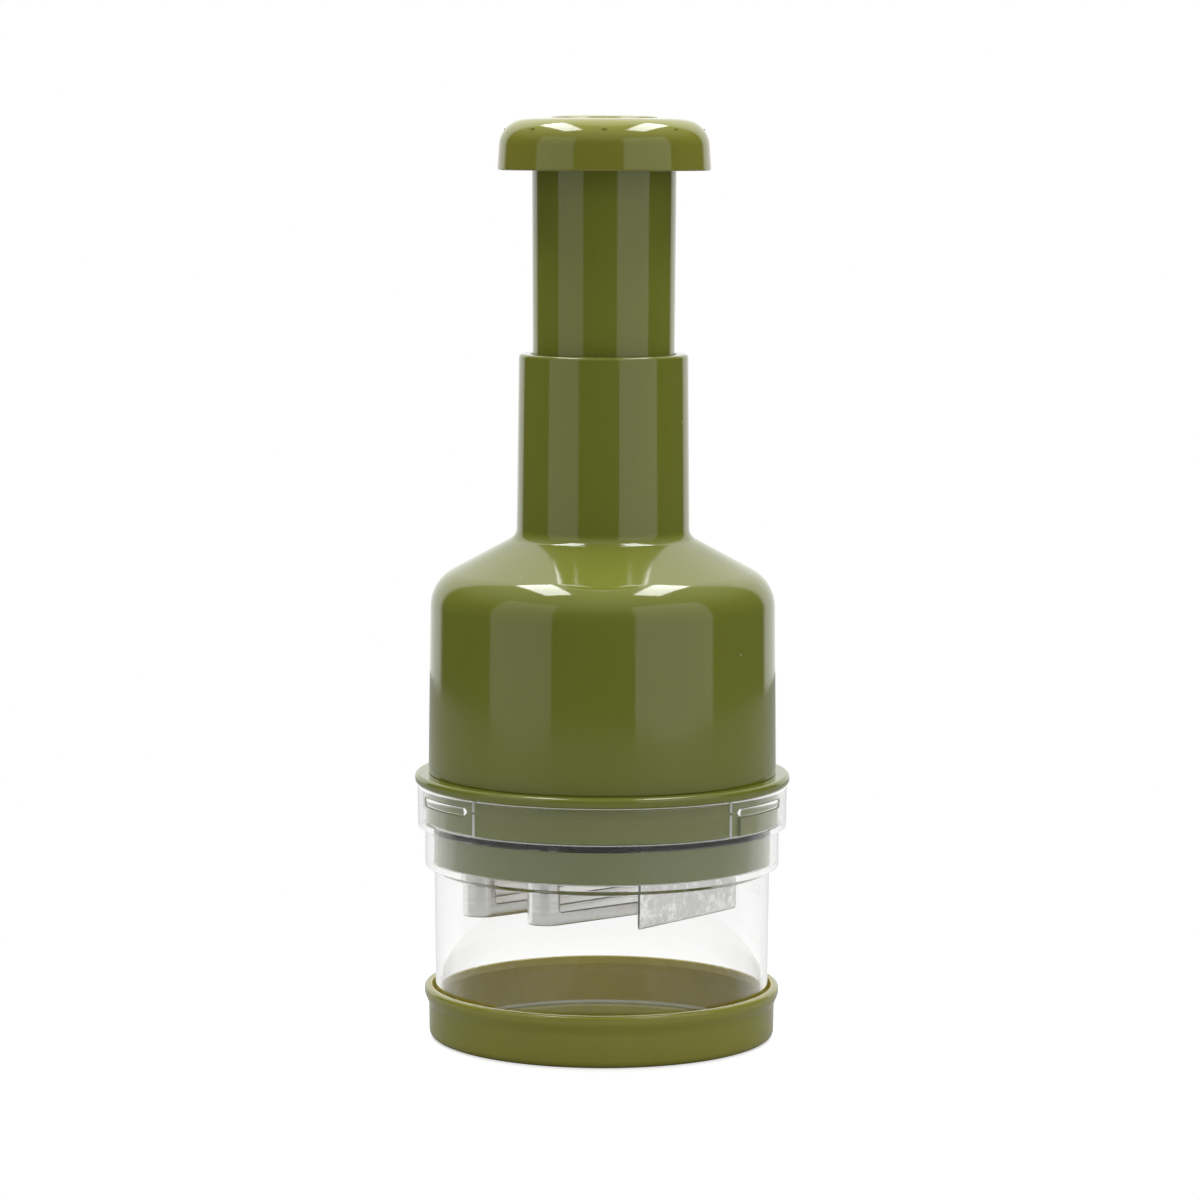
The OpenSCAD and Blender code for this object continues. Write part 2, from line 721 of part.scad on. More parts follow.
// Return spring: closed end turns, swept as one tube
closed_pitch = wire_d + coil_space;
coil_rise = spring_top_z - seat_z - wire_d;
open_pitch = (coil_rise - 2 * closed_pitch) / (coil_turns - 2);
last_ring = coil_turns * curl_rings;
function coil_level(t) =
    t < 1 ? closed_pitch * t
    : t < coil_turns - 1 ? closed_pitch + open_pitch * (t - 1)
    : coil_rise - closed_pitch * (coil_turns - t);
function coil_point(t, r, z) =
    let (a = 2 * half_turn * t) [r * cos(a), r * sin(a), z];
coil_middles = [for (i = [0:last_ring]) let (t = i / curl_rings)
    coil_point(t, coil_r, seat_z + wire_d / 2 + coil_level(t))];
coil_least_gap = min([for (i = [0:last_ring - curl_rings], k = [-2:2])
    norm(coil_middles[min(i + curl_rings + k, last_ring)] - coil_middles[i]) - wire_d]);

module return_spring() {
    echo(coil_least_gap = coil_least_gap);
    points = [for (i = [0:last_ring], k = [0:wire_sides - 1])
        let (t = i / curl_rings, b = k * 2 * half_turn / wire_sides)
        coil_point(t, coil_r + wire_d / 2 * cos(b), coil_middles[i].z + wire_d / 2 * sin(b))];
    sides = [for (i = [0:last_ring - 1], k = [0:wire_sides - 1])
        let (a = i * wire_sides + k, b = i * wire_sides + (k + 1) % wire_sides,
             c = b + wire_sides, d = a + wire_sides)
        each [[a, b, c], [a, c, d]]];
    ends = [for (k = [1:wire_sides - 2]) each
        [[0, k + 1, k], [last_ring * wire_sides, last_ring * wire_sides + k,
          last_ring * wire_sides + k + 1]]];
    color(steel) polyhedron(points, concat(sides, ends));
}

// Slotted disc that strips food off the blade. Its rim turns on the cup's ledge.
module wiper_plate() {
    plate_z = ledge_z + wiper_t;
    pin_z = seat_z + seat_pin_h;
    color(inner_green) difference() {
        rotate_extrude() polygon([
            [0, ledge_z], [wiper_r - rim_round, ledge_z], [wiper_r, ledge_z + rim_round],
            [wiper_r, wiper_z], [wiper_r - wiper_wall, wiper_z], [wiper_r - wiper_wall, plate_z],
            [seat_r, plate_z], [seat_r, seat_z], [seat_pin_r, seat_z],
            [seat_pin_r, pin_z - seat_pin_chamfer], [seat_pin_r - seat_pin_chamfer, pin_z],
            [0, pin_z]]);
        blade_tabs(ledge_z - over, plate_z + over, slot_gap, slot_gap);
    }
}

base_cap();
clear_cup();
lock_ring();
bell_housing();
index_ring();
index_screws();
plunger_tube();
drive_crown();
stop_washer();
knob();
knob_cap();
knob_screw();
blade_shaft();
rotor_crown();
blade_carrier();
carrier_screws();
zigzag_blade();
spring_washer();
return_spring();
wiper_plate();
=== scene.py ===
"""Plunger food chopper: moulded shells, clear cup, serpentine blade and studio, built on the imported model."""

import math

import bmesh
import bpy
from mathutils import Matrix, Vector


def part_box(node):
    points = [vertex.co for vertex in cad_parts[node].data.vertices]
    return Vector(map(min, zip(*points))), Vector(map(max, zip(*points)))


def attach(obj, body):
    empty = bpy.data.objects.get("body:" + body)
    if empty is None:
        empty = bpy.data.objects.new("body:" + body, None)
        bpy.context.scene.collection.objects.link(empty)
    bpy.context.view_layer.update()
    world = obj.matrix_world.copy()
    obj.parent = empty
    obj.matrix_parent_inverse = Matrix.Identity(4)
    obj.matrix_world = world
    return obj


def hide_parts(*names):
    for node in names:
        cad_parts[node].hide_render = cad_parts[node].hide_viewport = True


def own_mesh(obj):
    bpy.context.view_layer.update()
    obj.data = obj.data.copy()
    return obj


bl_info = {
    "name": "Plunger food chopper",
    "version": (1, 0, 0),
    "blender": (4, 5, 0),
    "location": "3D View > Sidebar > Chopper",
    "description": "Builds a hand-pressed food chopper over its construction model",
    "category": "Add Mesh",
}

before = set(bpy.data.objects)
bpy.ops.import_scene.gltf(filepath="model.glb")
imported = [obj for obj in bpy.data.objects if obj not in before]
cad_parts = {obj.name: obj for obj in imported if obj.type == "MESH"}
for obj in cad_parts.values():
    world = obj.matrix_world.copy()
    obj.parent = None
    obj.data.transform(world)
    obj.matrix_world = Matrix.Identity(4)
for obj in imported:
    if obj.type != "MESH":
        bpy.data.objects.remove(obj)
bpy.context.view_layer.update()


MM = 0.001
FULL = 2 * math.pi
PLASTIC_IOR = 1.5
DUST = (0.55, 0.55, 0.42)
WHITE = (1, 1, 1, 1)
SCREW_CIRCLE = 31.34  # mm, of the index ring's screws and the bell's bosses
SMOOTH_BELOW = 35  # degrees between faces, past which an edge stays sharp


def top_of(node):
    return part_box(node)[1].z


def foot_of(node):
    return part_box(node)[0].z


def reach_of(node):
    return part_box(node)[1].x


# Sizes and colours that a user would change


def length(name, description, millimetres):
    return bpy.props.FloatProperty(
        name=name, description=description, default=millimetres * MM, unit="LENGTH", subtype="DISTANCE"
    )


def angle(name, description, degrees):
    return bpy.props.FloatProperty(name=name, description=description, default=math.radians(degrees), subtype="ANGLE")


def number(name, description, default, lowest, highest):
    return bpy.props.IntProperty(name=name, description=description, default=default, min=lowest, max=highest)


def colour(name, description, linear):
    return bpy.props.FloatVectorProperty(
        name=name, description=description, default=linear, size=3, min=0, max=1, subtype="COLOR"
    )


def power(name, description, watts):
    return bpy.props.FloatProperty(name=name, description=description, default=watts, unit="POWER")


class MouldingSizes(bpy.types.PropertyGroup):
    """Sizes of the moulded shells."""

    segments: number("Segments", "Facets round each turned shell", 256, 64, 512)
    edge_round: length("Edge round", "Round on the moulded edges", 0.3)
    bell_wall: length("Bell wall", "Wall thickness of the bell", 2.2)
    knob_round: length("Knob round", "Round of the knob's shoulder", 6.8)
    knob_ribs: number("Knob ribs", "Ribs under the knob", 8, 3, 24)


class BladeSizes(bpy.types.PropertyGroup):
    """Sizes of the serpentine strip."""

    thickness: length("Thickness", "Thickness of the strip", 0.55)
    band: length("Cutting band", "Height of the band under the windows", 3.1)
    grind: length("Grind", "Height of the ground cutting edge", 0.9)
    window_round: length("Window round", "Round in the windows' lower corners", 0.7)
    reach: length("Reach", "From the shaft to the farthest bend", 30)
    leg_pitch: length("Leg pitch", "Between neighbouring bends", 9.5)
    bend_radius: length("Bend radius", "Outside radius of a bend", 4.45)
    turn: angle("Turn", "Direction of the legs from above", 41.2)


class SpringSizes(bpy.types.PropertyGroup):
    """Sizes of the return spring."""

    wire: length("Wire", "Wire diameter", 1.5)
    coil_radius: length("Coil radius", "Mean radius of the coils", 7.4)
    turns: number("Turns", "Number of turns", 17, 6, 30)
    end_gap: length("End gap", "Gap between the closed end turns", 0.5)


class ChopperColours(bpy.types.PropertyGroup):
    """Colours of the plastics and metals, as linear values."""

    moulded: colour("Moulded green", "Olive of the outer shells", (0.176, 0.196, 0.028))
    knob: colour("Knob green", "Olive of the knob and its cap", (0.2, 0.203, 0.028))
    warm: colour("Base green", "Warmer olive of the base cap", (0.268, 0.261, 0.031))
    # Painted light: the base cap's inner wall takes the base olive made lighter and redder, standing in for the light
    # that reaches it through the clear cup
    dish: colour("Dish green", "Satin inner wall of the base cap", (0.56, 0.46, 0.034))
    inner: colour("Inner green", "Olive of the inner pieces", (0.19, 0.22, 0.075))
    clear: colour("Clear wall", "Tint of the clear wall", (0.99, 0.99, 0.988))
    steel: colour("Blade steel", "Stainless strip", (0.84, 0.835, 0.815))
    # Painted shade: the strip's edge faces and a thin band along each sheared edge are darkened. This is partly a
    # burr, but mostly the shade and dark reflections that fall there
    cut: colour("Cut steel", "Dark sheared edges of the strip", (0.21, 0.20875, 0.20375))
    wire: colour("Spring wire", "Bright spring wire and screws", (0.55, 0.55, 0.56))
    rubber: colour("Rubber", "Soft stop washer", (0.05, 0.05, 0.05))


class StudioSettings(bpy.types.PropertyGroup):
    """Lamps, table and camera."""

    strip_power: power("Strip power", "Each overhead strip lamp", 1.85)
    left_power: power("Left power", "Panel at the front left", 1.12)
    right_power: power("Right power", "Panel at the front right", 1.85)
    table_grey: bpy.props.FloatProperty(
        name="Table grey", description="Lightness of the table", default=0.42, min=0, max=1, subtype="FACTOR"
    )
    focal: bpy.props.FloatProperty(name="Lens", description="Focal length", default=128.88, unit="CAMERA")
    pitch: angle("Pitch", "How far the camera looks down", 6.043)
    roll: angle("Roll", "Roll of the camera", 0.19)


# Node trees


def add_node(tree, kind, inputs=None, **settings):
    """Adds a node. An input is given by its name or number, as a value or as the socket that feeds it."""
    node = tree.nodes.new(kind)
    for key, value in settings.items():
        setattr(node, key, value)
    for key, value in (inputs or {}).items():
        if isinstance(value, bpy.types.NodeSocket):
            tree.links.new(value, node.inputs[key])
        else:
            node.inputs[key].default_value = value
    return node


# The helpers below take their tree from a socket or node that they are given


def sums(operation, *values):
    """One Math node, from values and at least one socket."""
    tree = next(value.id_data for value in values if isinstance(value, bpy.types.NodeSocket))
    return add_node(tree, "ShaderNodeMath", dict(enumerate(values)), operation=operation).outputs[0]


def product(first, second):
    return sums("MULTIPLY", first, second)


def total(first, second):
    return sums("ADD", first, second)


def less(first, second):
    return sums("SUBTRACT", first, second)


def parts_of(vector):
    """The X, Y and Z of a vector."""
    return add_node(vector.id_data, "ShaderNodeSeparateXYZ", {0: vector}).outputs


def seen_directly(behind):
    """1 for rays of the camera and for those that come through the clear wall and go on behind the chopper."""
    path = behind.id_data.nodes.new("ShaderNodeLightPath").outputs
    inside = sums("MINIMUM", path["Transmission Depth"], 1.0)
    through = product(inside, less(1.0, path["Is Diffuse Ray"]))
    return sums("MAXIMUM", path["Is Camera Ray"], product(through, behind))


def stretched(place, scale, turn=(0.0, 0.0, 0.0)):
    """Coordinates turned and scaled apart on each axis, for streaks."""
    inputs = {"Vector": place, "Rotation": turn, "Scale": scale}
    return add_node(place.id_data, "ShaderNodeMapping", inputs).outputs[0]


def noise_of(place, scale, detail=3.0, roughness=0.5):
    inputs = {"Vector": place, "Scale": scale, "Detail": detail, "Roughness": roughness}
    return add_node(place.id_data, "ShaderNodeTexNoise", inputs).outputs["Fac"]


def spread(value, low, high, out_low=0.0, out_high=1.0):
    """Maps low..high of a value to out_low..out_high, and holds it there."""
    inputs = {"Value": value, "From Min": low, "From Max": high, "To Min": out_low, "To Max": out_high}
    return add_node(value.id_data, "ShaderNodeMapRange", inputs).outputs["Result"]


def blended(amount, first, second):
    """Mix of two colours or sockets, by an amount that is a socket."""
    first, second = (c if isinstance(c, bpy.types.NodeSocket) else (*c[:3], 1.0) for c in (first, second))
    inputs = {0: amount, 6: first, 7: second}
    return add_node(amount.id_data, "ShaderNodeMix", inputs, data_type="RGBA").outputs[2]


def scaled(linear, *shares):
    """A colour times one share, or times a share for each channel."""
    return tuple(c * share for c, share in zip(linear, shares * 3 if len(shares) == 1 else shares))


def new_finish(name, **sockets):
    """A material with one Principled shader, and the object's own coordinates."""
    finish = bpy.data.materials.new(name)
    finish.use_nodes = True
    tree = finish.node_tree
    shader = tree.nodes["Principled BSDF"]
    for key, value in sockets.items():
        shader.inputs[key.replace("_", " ").title().replace("Ior", "IOR")].default_value = value
    place = tree.nodes.new("ShaderNodeTexCoord").outputs["Object"]
    return finish, shader, place


def fed(shader, **sockets):
    """Links sockets to the shader's inputs of the same names."""
    for key, socket in sockets.items():
        shader.id_data.links.new(socket, shader.inputs[key.replace("_", " ").title()])


def embossed(shader, height, strength, distance):
    """Bump from a height, in metres at full strength."""
    inputs = {"Height": height, "Strength": strength, "Distance": distance}
    fed(shader, normal=add_node(shader.id_data, "ShaderNodeBump", inputs).outputs[0])


def mixed_surface(amount, shader, other):
    """Mixes two shaders on the way to the material's output."""
    tree = shader.id_data
    mix = add_node(tree, "ShaderNodeMixShader", {0: amount, 1: shader.outputs[0], 2: other.outputs[0]})
    fed(tree.nodes["Material Output"], surface=mix.outputs[0])


def moulded_finish(name, linear, gloss, peel):
    """Moulded plastic: faint clouds and flow streaks, fine grain, dust specks, uneven gloss and orange peel."""
    finish, shader, place = new_finish(name, ior=PLASTIC_IOR)
    tree = shader.id_data
    clouds = noise_of(place, 26.0)
    streaks = noise_of(stretched(place, (90, 90, 7)), 1.0, 2.0)
    grain = noise_of(place, 2600.0, 2.0)
    tone = total(spread(clouds, 0.3, 0.7, -0.05, 0.05), spread(streaks, 0.3, 0.7, -0.03, 0.03))
    tone = total(tone, spread(grain, 0.25, 0.75, -0.045, 0.045))
    base = blended(total(tone, 0.5), scaled(linear, 0.72), scaled(linear, 1.28))
    cells = add_node(tree, "ShaderNodeTexVoronoi", {"Vector": place, "Scale": 210.0}).outputs
    dot = spread(cells["Distance"], 0.045, 0.065, 1.0, 0.0)
    chance = add_node(tree, "ShaderNodeSeparateColor", {0: cells["Color"]}).outputs[0]
    speck = product(dot, spread(chance, 0.88, 0.89, 0.0, 0.6))
    smear = noise_of(place, 60.0, 4.0, 0.6)
    rough = total(spread(smear, 0.35, 0.7, gloss, gloss + 0.05), product(speck, 0.5))
    fed(shader, roughness=rough, base_color=blended(speck, base, DUST))
    skin = total(noise_of(place, 420.0, 2.0), product(noise_of(place, 70.0, 1.0), 2.0))
    embossed(shader, skin, peel, 0.0001)
    return finish


def clear_finish(name, linear):
    """Clear moulded plastic with faint smears and hairline scratches. The lamps' rays and the other pieces'
    reflections pass straight through it, which keeps them free of grain."""
    finish, shader, place = new_finish(name, ior=PLASTIC_IOR, transmission_weight=1.0, base_color=(*linear, 1.0))
    tree = shader.id_data
    smear = noise_of(place, 55.0, 4.0, 0.6)
    hair = noise_of(stretched(place, (900, 60, 60), (0.4, 0.7, 0.2)), 1.0, 2.0)
    scratch = spread(hair, 0.72, 0.76, 0.0, 0.05)
    fed(shader, roughness=total(spread(smear, 0.5, 0.75, 0.0, 0.012), scratch))
    embossed(shader, noise_of(place, 45.0, 1.0), 0.12, 0.0002)
    path = tree.nodes.new("ShaderNodeLightPath").outputs
    mirrored = product(path["Is Glossy Ray"], less(1.0, path["Is Transmission Ray"]))
    lamp = sums("MAXIMUM", path["Is Shadow Ray"], path["Is Diffuse Ray"])
    straight = add_node(tree, "ShaderNodeBsdfTransparent", {"Color": (0.985, 0.985, 0.98, 1.0)})
    mixed_surface(sums("MAXIMUM", lamp, mirrored), shader, straight)
    return finish


def glint_finish(name, linear):
    """Clear plastic made rough and white, a painted highlight: it stands in for the glint on the cup's rounded foot
    and the light lines at the pocket seams.
    """
    finish, shader, place = new_finish(name, ior=PLASTIC_IOR, transmission_weight=0.05, base_color=(*linear, 1.0))
    speckle = noise_of(place, 900.0, roughness=0.6)
    fed(shader, roughness=spread(speckle, 0.3, 0.7, 0.4, 0.7))
    embossed(shader, speckle, 0.3, 0.00005)
    return finish


def steel_finish(name, linear, gloss, lines, stains, relief, worn=0.0):
    """Rolled or drawn metal: fine lines along it, mottled stains and uneven gloss. The blade's end leg, which is
    towards +X, is worn more than the rest."""
    finish, shader, place = new_finish(name, metallic=1.0)
    drawn = noise_of(stretched(place, lines), 1.0, 1.0)
    mottle = noise_of(place, 600.0, 2.0)
    blotch = noise_of(place, 90.0)
    tone = total(spread(drawn, 0.3, 0.7, 0.4, 0.6), spread(mottle, 0.3, 0.7, -stains, stains))
    base = blended(tone, scaled(linear, 0.8), tuple(min(1.0, c) for c in scaled(linear, 1.2)))
    base = blended(spread(blotch, 0.5, 0.75, 0.0, 0.35), base, scaled(linear, 0.78, 0.7, 0.62))
    wear = spread(parts_of(place)[0], 0.006, 0.012, 0.0, worn)
    smudge = total(noise_of(place, 330.0, 5.0, 0.8), wear)
    base = blended(spread(smudge, 0.6, 0.78, 0.0, 0.55), base, scaled(linear, 0.4))
    fed(shader, roughness=spread(total(drawn, mottle), 0.7, 1.3, gloss, gloss + 0.1), base_color=base)
    embossed(shader, total(drawn, product(mottle, 0.5)), relief, 0.00002)
    return finish


def rubber_finish(name, linear):
    """Soft black rubber with a dusty bloom and a fine pebble."""
    finish, shader, place = new_finish(name, ior=PLASTIC_IOR)
    bloom = noise_of(place, 120.0, 4.0, 0.6)
    base = blended(spread(bloom, 0.35, 0.75, 0.0, 0.5), linear, tuple(c + 0.08 for c in linear))
    fed(shader, roughness=spread(bloom, 0.3, 0.7, 0.65, 0.85), base_color=base)
    embossed(shader, noise_of(place, 1800.0, 2.0), 0.3, 0.0001)
    return finish


# How each finish is made, the setting that holds its colour, and its other values
FINISHES = {
    "gloss_olive": (moulded_finish, "moulded", {"gloss": 0.06, "peel": 0.05}),
    "knob_olive": (moulded_finish, "knob", {"gloss": 0.06, "peel": 0.05}),
    "warm_olive": (moulded_finish, "warm", {"gloss": 0.08, "peel": 0.05}),
    # Painted light: the inner wall's finish is a lightened copy of the base olive
    "dish_olive": (moulded_finish, "dish", {"gloss": 0.25, "peel": 0.1}),
    "satin_olive": (moulded_finish, "inner", {"gloss": 0.3, "peel": 0.12}),
    "clear_wall": (clear_finish, "clear", {}),
    # Painted highlight: white rough plastic for the glints on the cup's foot and seams
    "frosted_edge": (glint_finish, "clear", {}),
    "blade_steel": (
        steel_finish,
        "steel",
        {"gloss": 0.18, "lines": (60, 60, 900), "stains": 0.05, "relief": 0.006, "worn": 0.26},
    ),
    "bright_wire": (
        steel_finish, "wire", {"gloss": 0.16, "lines": (700, 700, 700), "stains": 0.15, "relief": 0.02}
    ),
    # Painted shade: the dark finish of the strip's edges, partly a burr
    "cut_edge": (steel_finish, "cut", {"gloss": 0.35, "lines": (900, 900, 900), "stains": 0.1, "relief": 0.02}),
    "stop_rubber": (rubber_finish, "rubber", {}),
}


def finish_of(kind):
    """The named finish, made once."""
    found = bpy.data.materials.get(kind)
    if found:
        return found
    make, setting, values = FINISHES[kind]
    return make(kind, tuple(getattr(bpy.context.scene.chopper_colours, setting)), **values)


# Shapes


def rounded(corners, steps=6, hold=0.12):
    """Outline through corners of (radius, height, round), all in mm, with an arc at each rounded corner.
    A point just beside each arc keeps the flat that follows it flat in the shading."""
    outline = []
    for i, (r, z, fillet) in enumerate(corners):
        corner = Vector((r, z))
        before = Vector(corners[i - 1][:2]) - corner
        after = Vector(corners[(i + 1) % len(corners)][:2]) - corner
        if fillet <= 0:
            outline.append((r, z))
            continue
        half = before.angle(after) / 2
        reach = min(fillet / math.tan(half), 0.49 * before.length, 0.49 * after.length)
        radius = reach * math.tan(half)
        u, v = before.normalized(), after.normalized()
        middle = corner + (u + v).normalized() * radius / math.sin(half)
        start, end = corner + u * reach - middle, corner + v * reach - middle
        swing = math.remainder(math.atan2(end.y, end.x) - math.atan2(start.y, start.x), FULL)
        first = math.atan2(start.y, start.x)
        if before.length > reach + 4 * hold:
            outline.append(tuple(corner + u * (reach + hold)))
        for k in range(steps + 1):
            a = first + swing * k / steps
            outline.append((middle.x + radius * math.cos(a), middle.y + radius * math.sin(a)))
        if after.length > reach + 4 * hold:
            outline.append(tuple(corner + v * (reach + hold)))
    return outline


def even_angles(count):
    return [FULL * k / count for k in range(count)]


def with_steps(angles, places, width):
    """Angles with a close pair added at each place, where an outline changes suddenly."""
    extra = [p + side * width for p in places for side in (-0.5, 0.5)]
    kept = [a for a in angles if all(abs(math.remainder(a - e, FULL)) > width for e in extra)]
    return sorted(kept + [e % FULL for e in extra])


def shaded(mesh, sharp=SMOOTH_BELOW):
    mesh.shade_smooth()
    mesh.set_sharp_from_angle(angle=math.radians(sharp))
    return mesh


def smooth_mesh(name, points, faces, sharp=SMOOTH_BELOW):
    """A mesh in metres from points in mm, with poles closed and faces outwards."""
    mesh = bpy.data.meshes.new(name)
    mesh.from_pydata([(x * MM, y * MM, z * MM) for x, y, z in points], [], faces)
    shape = bmesh.new()
    shape.from_mesh(mesh)
    bmesh.ops.remove_doubles(shape, verts=shape.verts, dist=1e-7)
    bmesh.ops.dissolve_degenerate(shape, edges=shape.edges, dist=1e-8)
    bmesh.ops.recalc_face_normals(shape, faces=shape.faces)
    shape.to_mesh(mesh)
    shape.free()
    return shaded(mesh, sharp)


def revolved(name, outline, angles, sharp=SMOOTH_BELOW):
    """A closed outline turned about Z. The outline is a list, or a function of the angle that keeps its length."""
    rows = [outline(a) if callable(outline) else outline for a in angles]
    count = len(rows[0])
    points = [(r * math.cos(a), r * math.sin(a), z) for a, row in zip(angles, rows) for r, z in row]
    faces = []
    for i in range(len(angles)):
        j = (i + 1) % len(angles)
        for k in range(count):
            m = (k + 1) % count
            if rows[i][k][0] < 1e-9 and rows[i][m][0] < 1e-9:
                continue
            faces.append((i * count + k, j * count + k, j * count + m, i * count + m))
    return smooth_mesh(name, points, faces, sharp)


def placed(name, mesh, body, nodes, slot, *finishes):
    """The finished piece: it rides on its body and stands for its nodes."""
    if mesh.materials:  # clearing an empty list would still reset each face's choice of finish
        mesh.materials.clear()
    for finish in finishes:
        mesh.materials.append(finish_of(finish))
    piece = bpy.data.objects.new(name, mesh)
    bpy.context.scene.collection.objects.link(piece)
    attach(piece, body)
    if nodes:
        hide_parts(*nodes)
    return piece


def added(name, mesh, whole, body, slot, finish):
    """A further piece of a moulding that already stands for its node."""
    piece = placed(name, mesh, body, [], slot, finish)
    piece.parent = whole
    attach(piece, body)


def grown(name, tree, values):
    """Runs a node tree on an empty object, and returns its result as a plain mesh."""
    holder = bpy.data.objects.new(name, bpy.data.meshes.new(name))
    bpy.context.scene.collection.objects.link(holder)
    modifier = holder.modifiers.new(name, "NODES")
    modifier.node_group = tree
    for item in tree.interface.items_tree:
        if item.item_type == "SOCKET" and item.in_out == "INPUT" and item.name in values:
            modifier[item.identifier] = values[item.name]
    view = bpy.context.evaluated_depsgraph_get()
    mesh = bpy.data.meshes.new_from_object(holder.evaluated_get(view), depsgraph=view)
    mesh.name = name
    bpy.data.objects.remove(holder)
    if not mesh.polygons:
        raise RuntimeError(f"{name} came out empty")
    return mesh


def new_tree(name, sockets):
    """A Geometry Nodes tree with named inputs. Returns the tree, its inputs by name, and its output node."""
    tree = bpy.data.node_groups.new(name, "GeometryNodeTree")
    tree.interface.new_socket("Geometry", in_out="INPUT", socket_type="NodeSocketGeometry")
    for label, (kind, value) in sockets.items():
        item = tree.interface.new_socket(label, in_out="INPUT", socket_type="NodeSocket" + kind)
        if value is not None:
            item.default_value = value
    tree.interface.new_socket("Geometry", in_out="OUTPUT", socket_type="NodeSocketGeometry")
    return tree, tree.nodes.new("NodeGroupInput").outputs, tree.nodes.new("NodeGroupOutput")


def end_tree(tree, shape, output, finish):
    """Ends a tree in Realize Instances and Set Material."""
    real = add_node(tree, "GeometryNodeRealizeInstances", {0: shape})
    painted = add_node(tree, "GeometryNodeSetMaterial", {"Geometry": real.outputs[0], "Material": finish_of(finish)})
    tree.links.new(painted.outputs[0], output.inputs[0])


def ring_tree(finish):
    """Copies of one piece on a circle: screws, bosses, or ribs under the knob."""
    tree, given, output = new_tree(
        "ring_of_pieces",
        {"Piece": ("Object", None), "Count": ("Int", 4), "Radius": ("Float", 0.02), "Turn": ("Float", 0.0),
         "Height": ("Float", 0.0), "Flip": ("Float", 0.0)},
    )
    circle = add_node(tree, "GeometryNodeMeshCircle", {"Vertices": given["Count"], "Radius": given["Radius"]})
    step = sums("DIVIDE", FULL, given["Count"])
    around = product(tree.nodes.new("GeometryNodeInputIndex").outputs[0], step)
    facing = add_node(tree, "ShaderNodeCombineXYZ", {0: given["Flip"], 2: around})
    piece = add_node(tree, "GeometryNodeObjectInfo", {"Object": given["Piece"]})
    points = add_node(tree, "GeometryNodeMeshToPoints", {"Mesh": circle.outputs[0]})
    copies = add_node(
        tree,
        "GeometryNodeInstanceOnPoints",
        {"Points": points.outputs[0], "Instance": piece.outputs["Geometry"], "Rotation": facing.outputs[0]},
    )
    lift = add_node(tree, "ShaderNodeCombineXYZ", {2: given["Height"]})
    swing = add_node(tree, "ShaderNodeCombineXYZ", {2: given["Turn"]})
    moved = add_node(
        tree,
        "GeometryNodeTransform",
        {"Geometry": copies.outputs[0], "Translation": lift.outputs[0], "Rotation": swing.outputs[0]},
    )
    end_tree(tree, moved.outputs[0], output, finish)
    return tree


def ring_of(name, mesh, finish, count, radius, turn=0.0, height=0.0, flip=0.0):
    """The plain mesh of copies of a piece on a circle, with its radius in mm and its turn in degrees."""
    mesh.materials.append(finish_of(finish))
    piece = bpy.data.objects.new(name + "_one", mesh)
    bpy.context.scene.collection.objects.link(piece)
    values = {"Piece": piece, "Count": count, "Radius": radius * MM, "Turn": math.radians(turn)}
    result = grown(name, ring_tree(finish), {**values, "Height": height, "Flip": flip})
    bpy.data.objects.remove(piece)
    return shaded(result)


# Operators, one for each piece or group


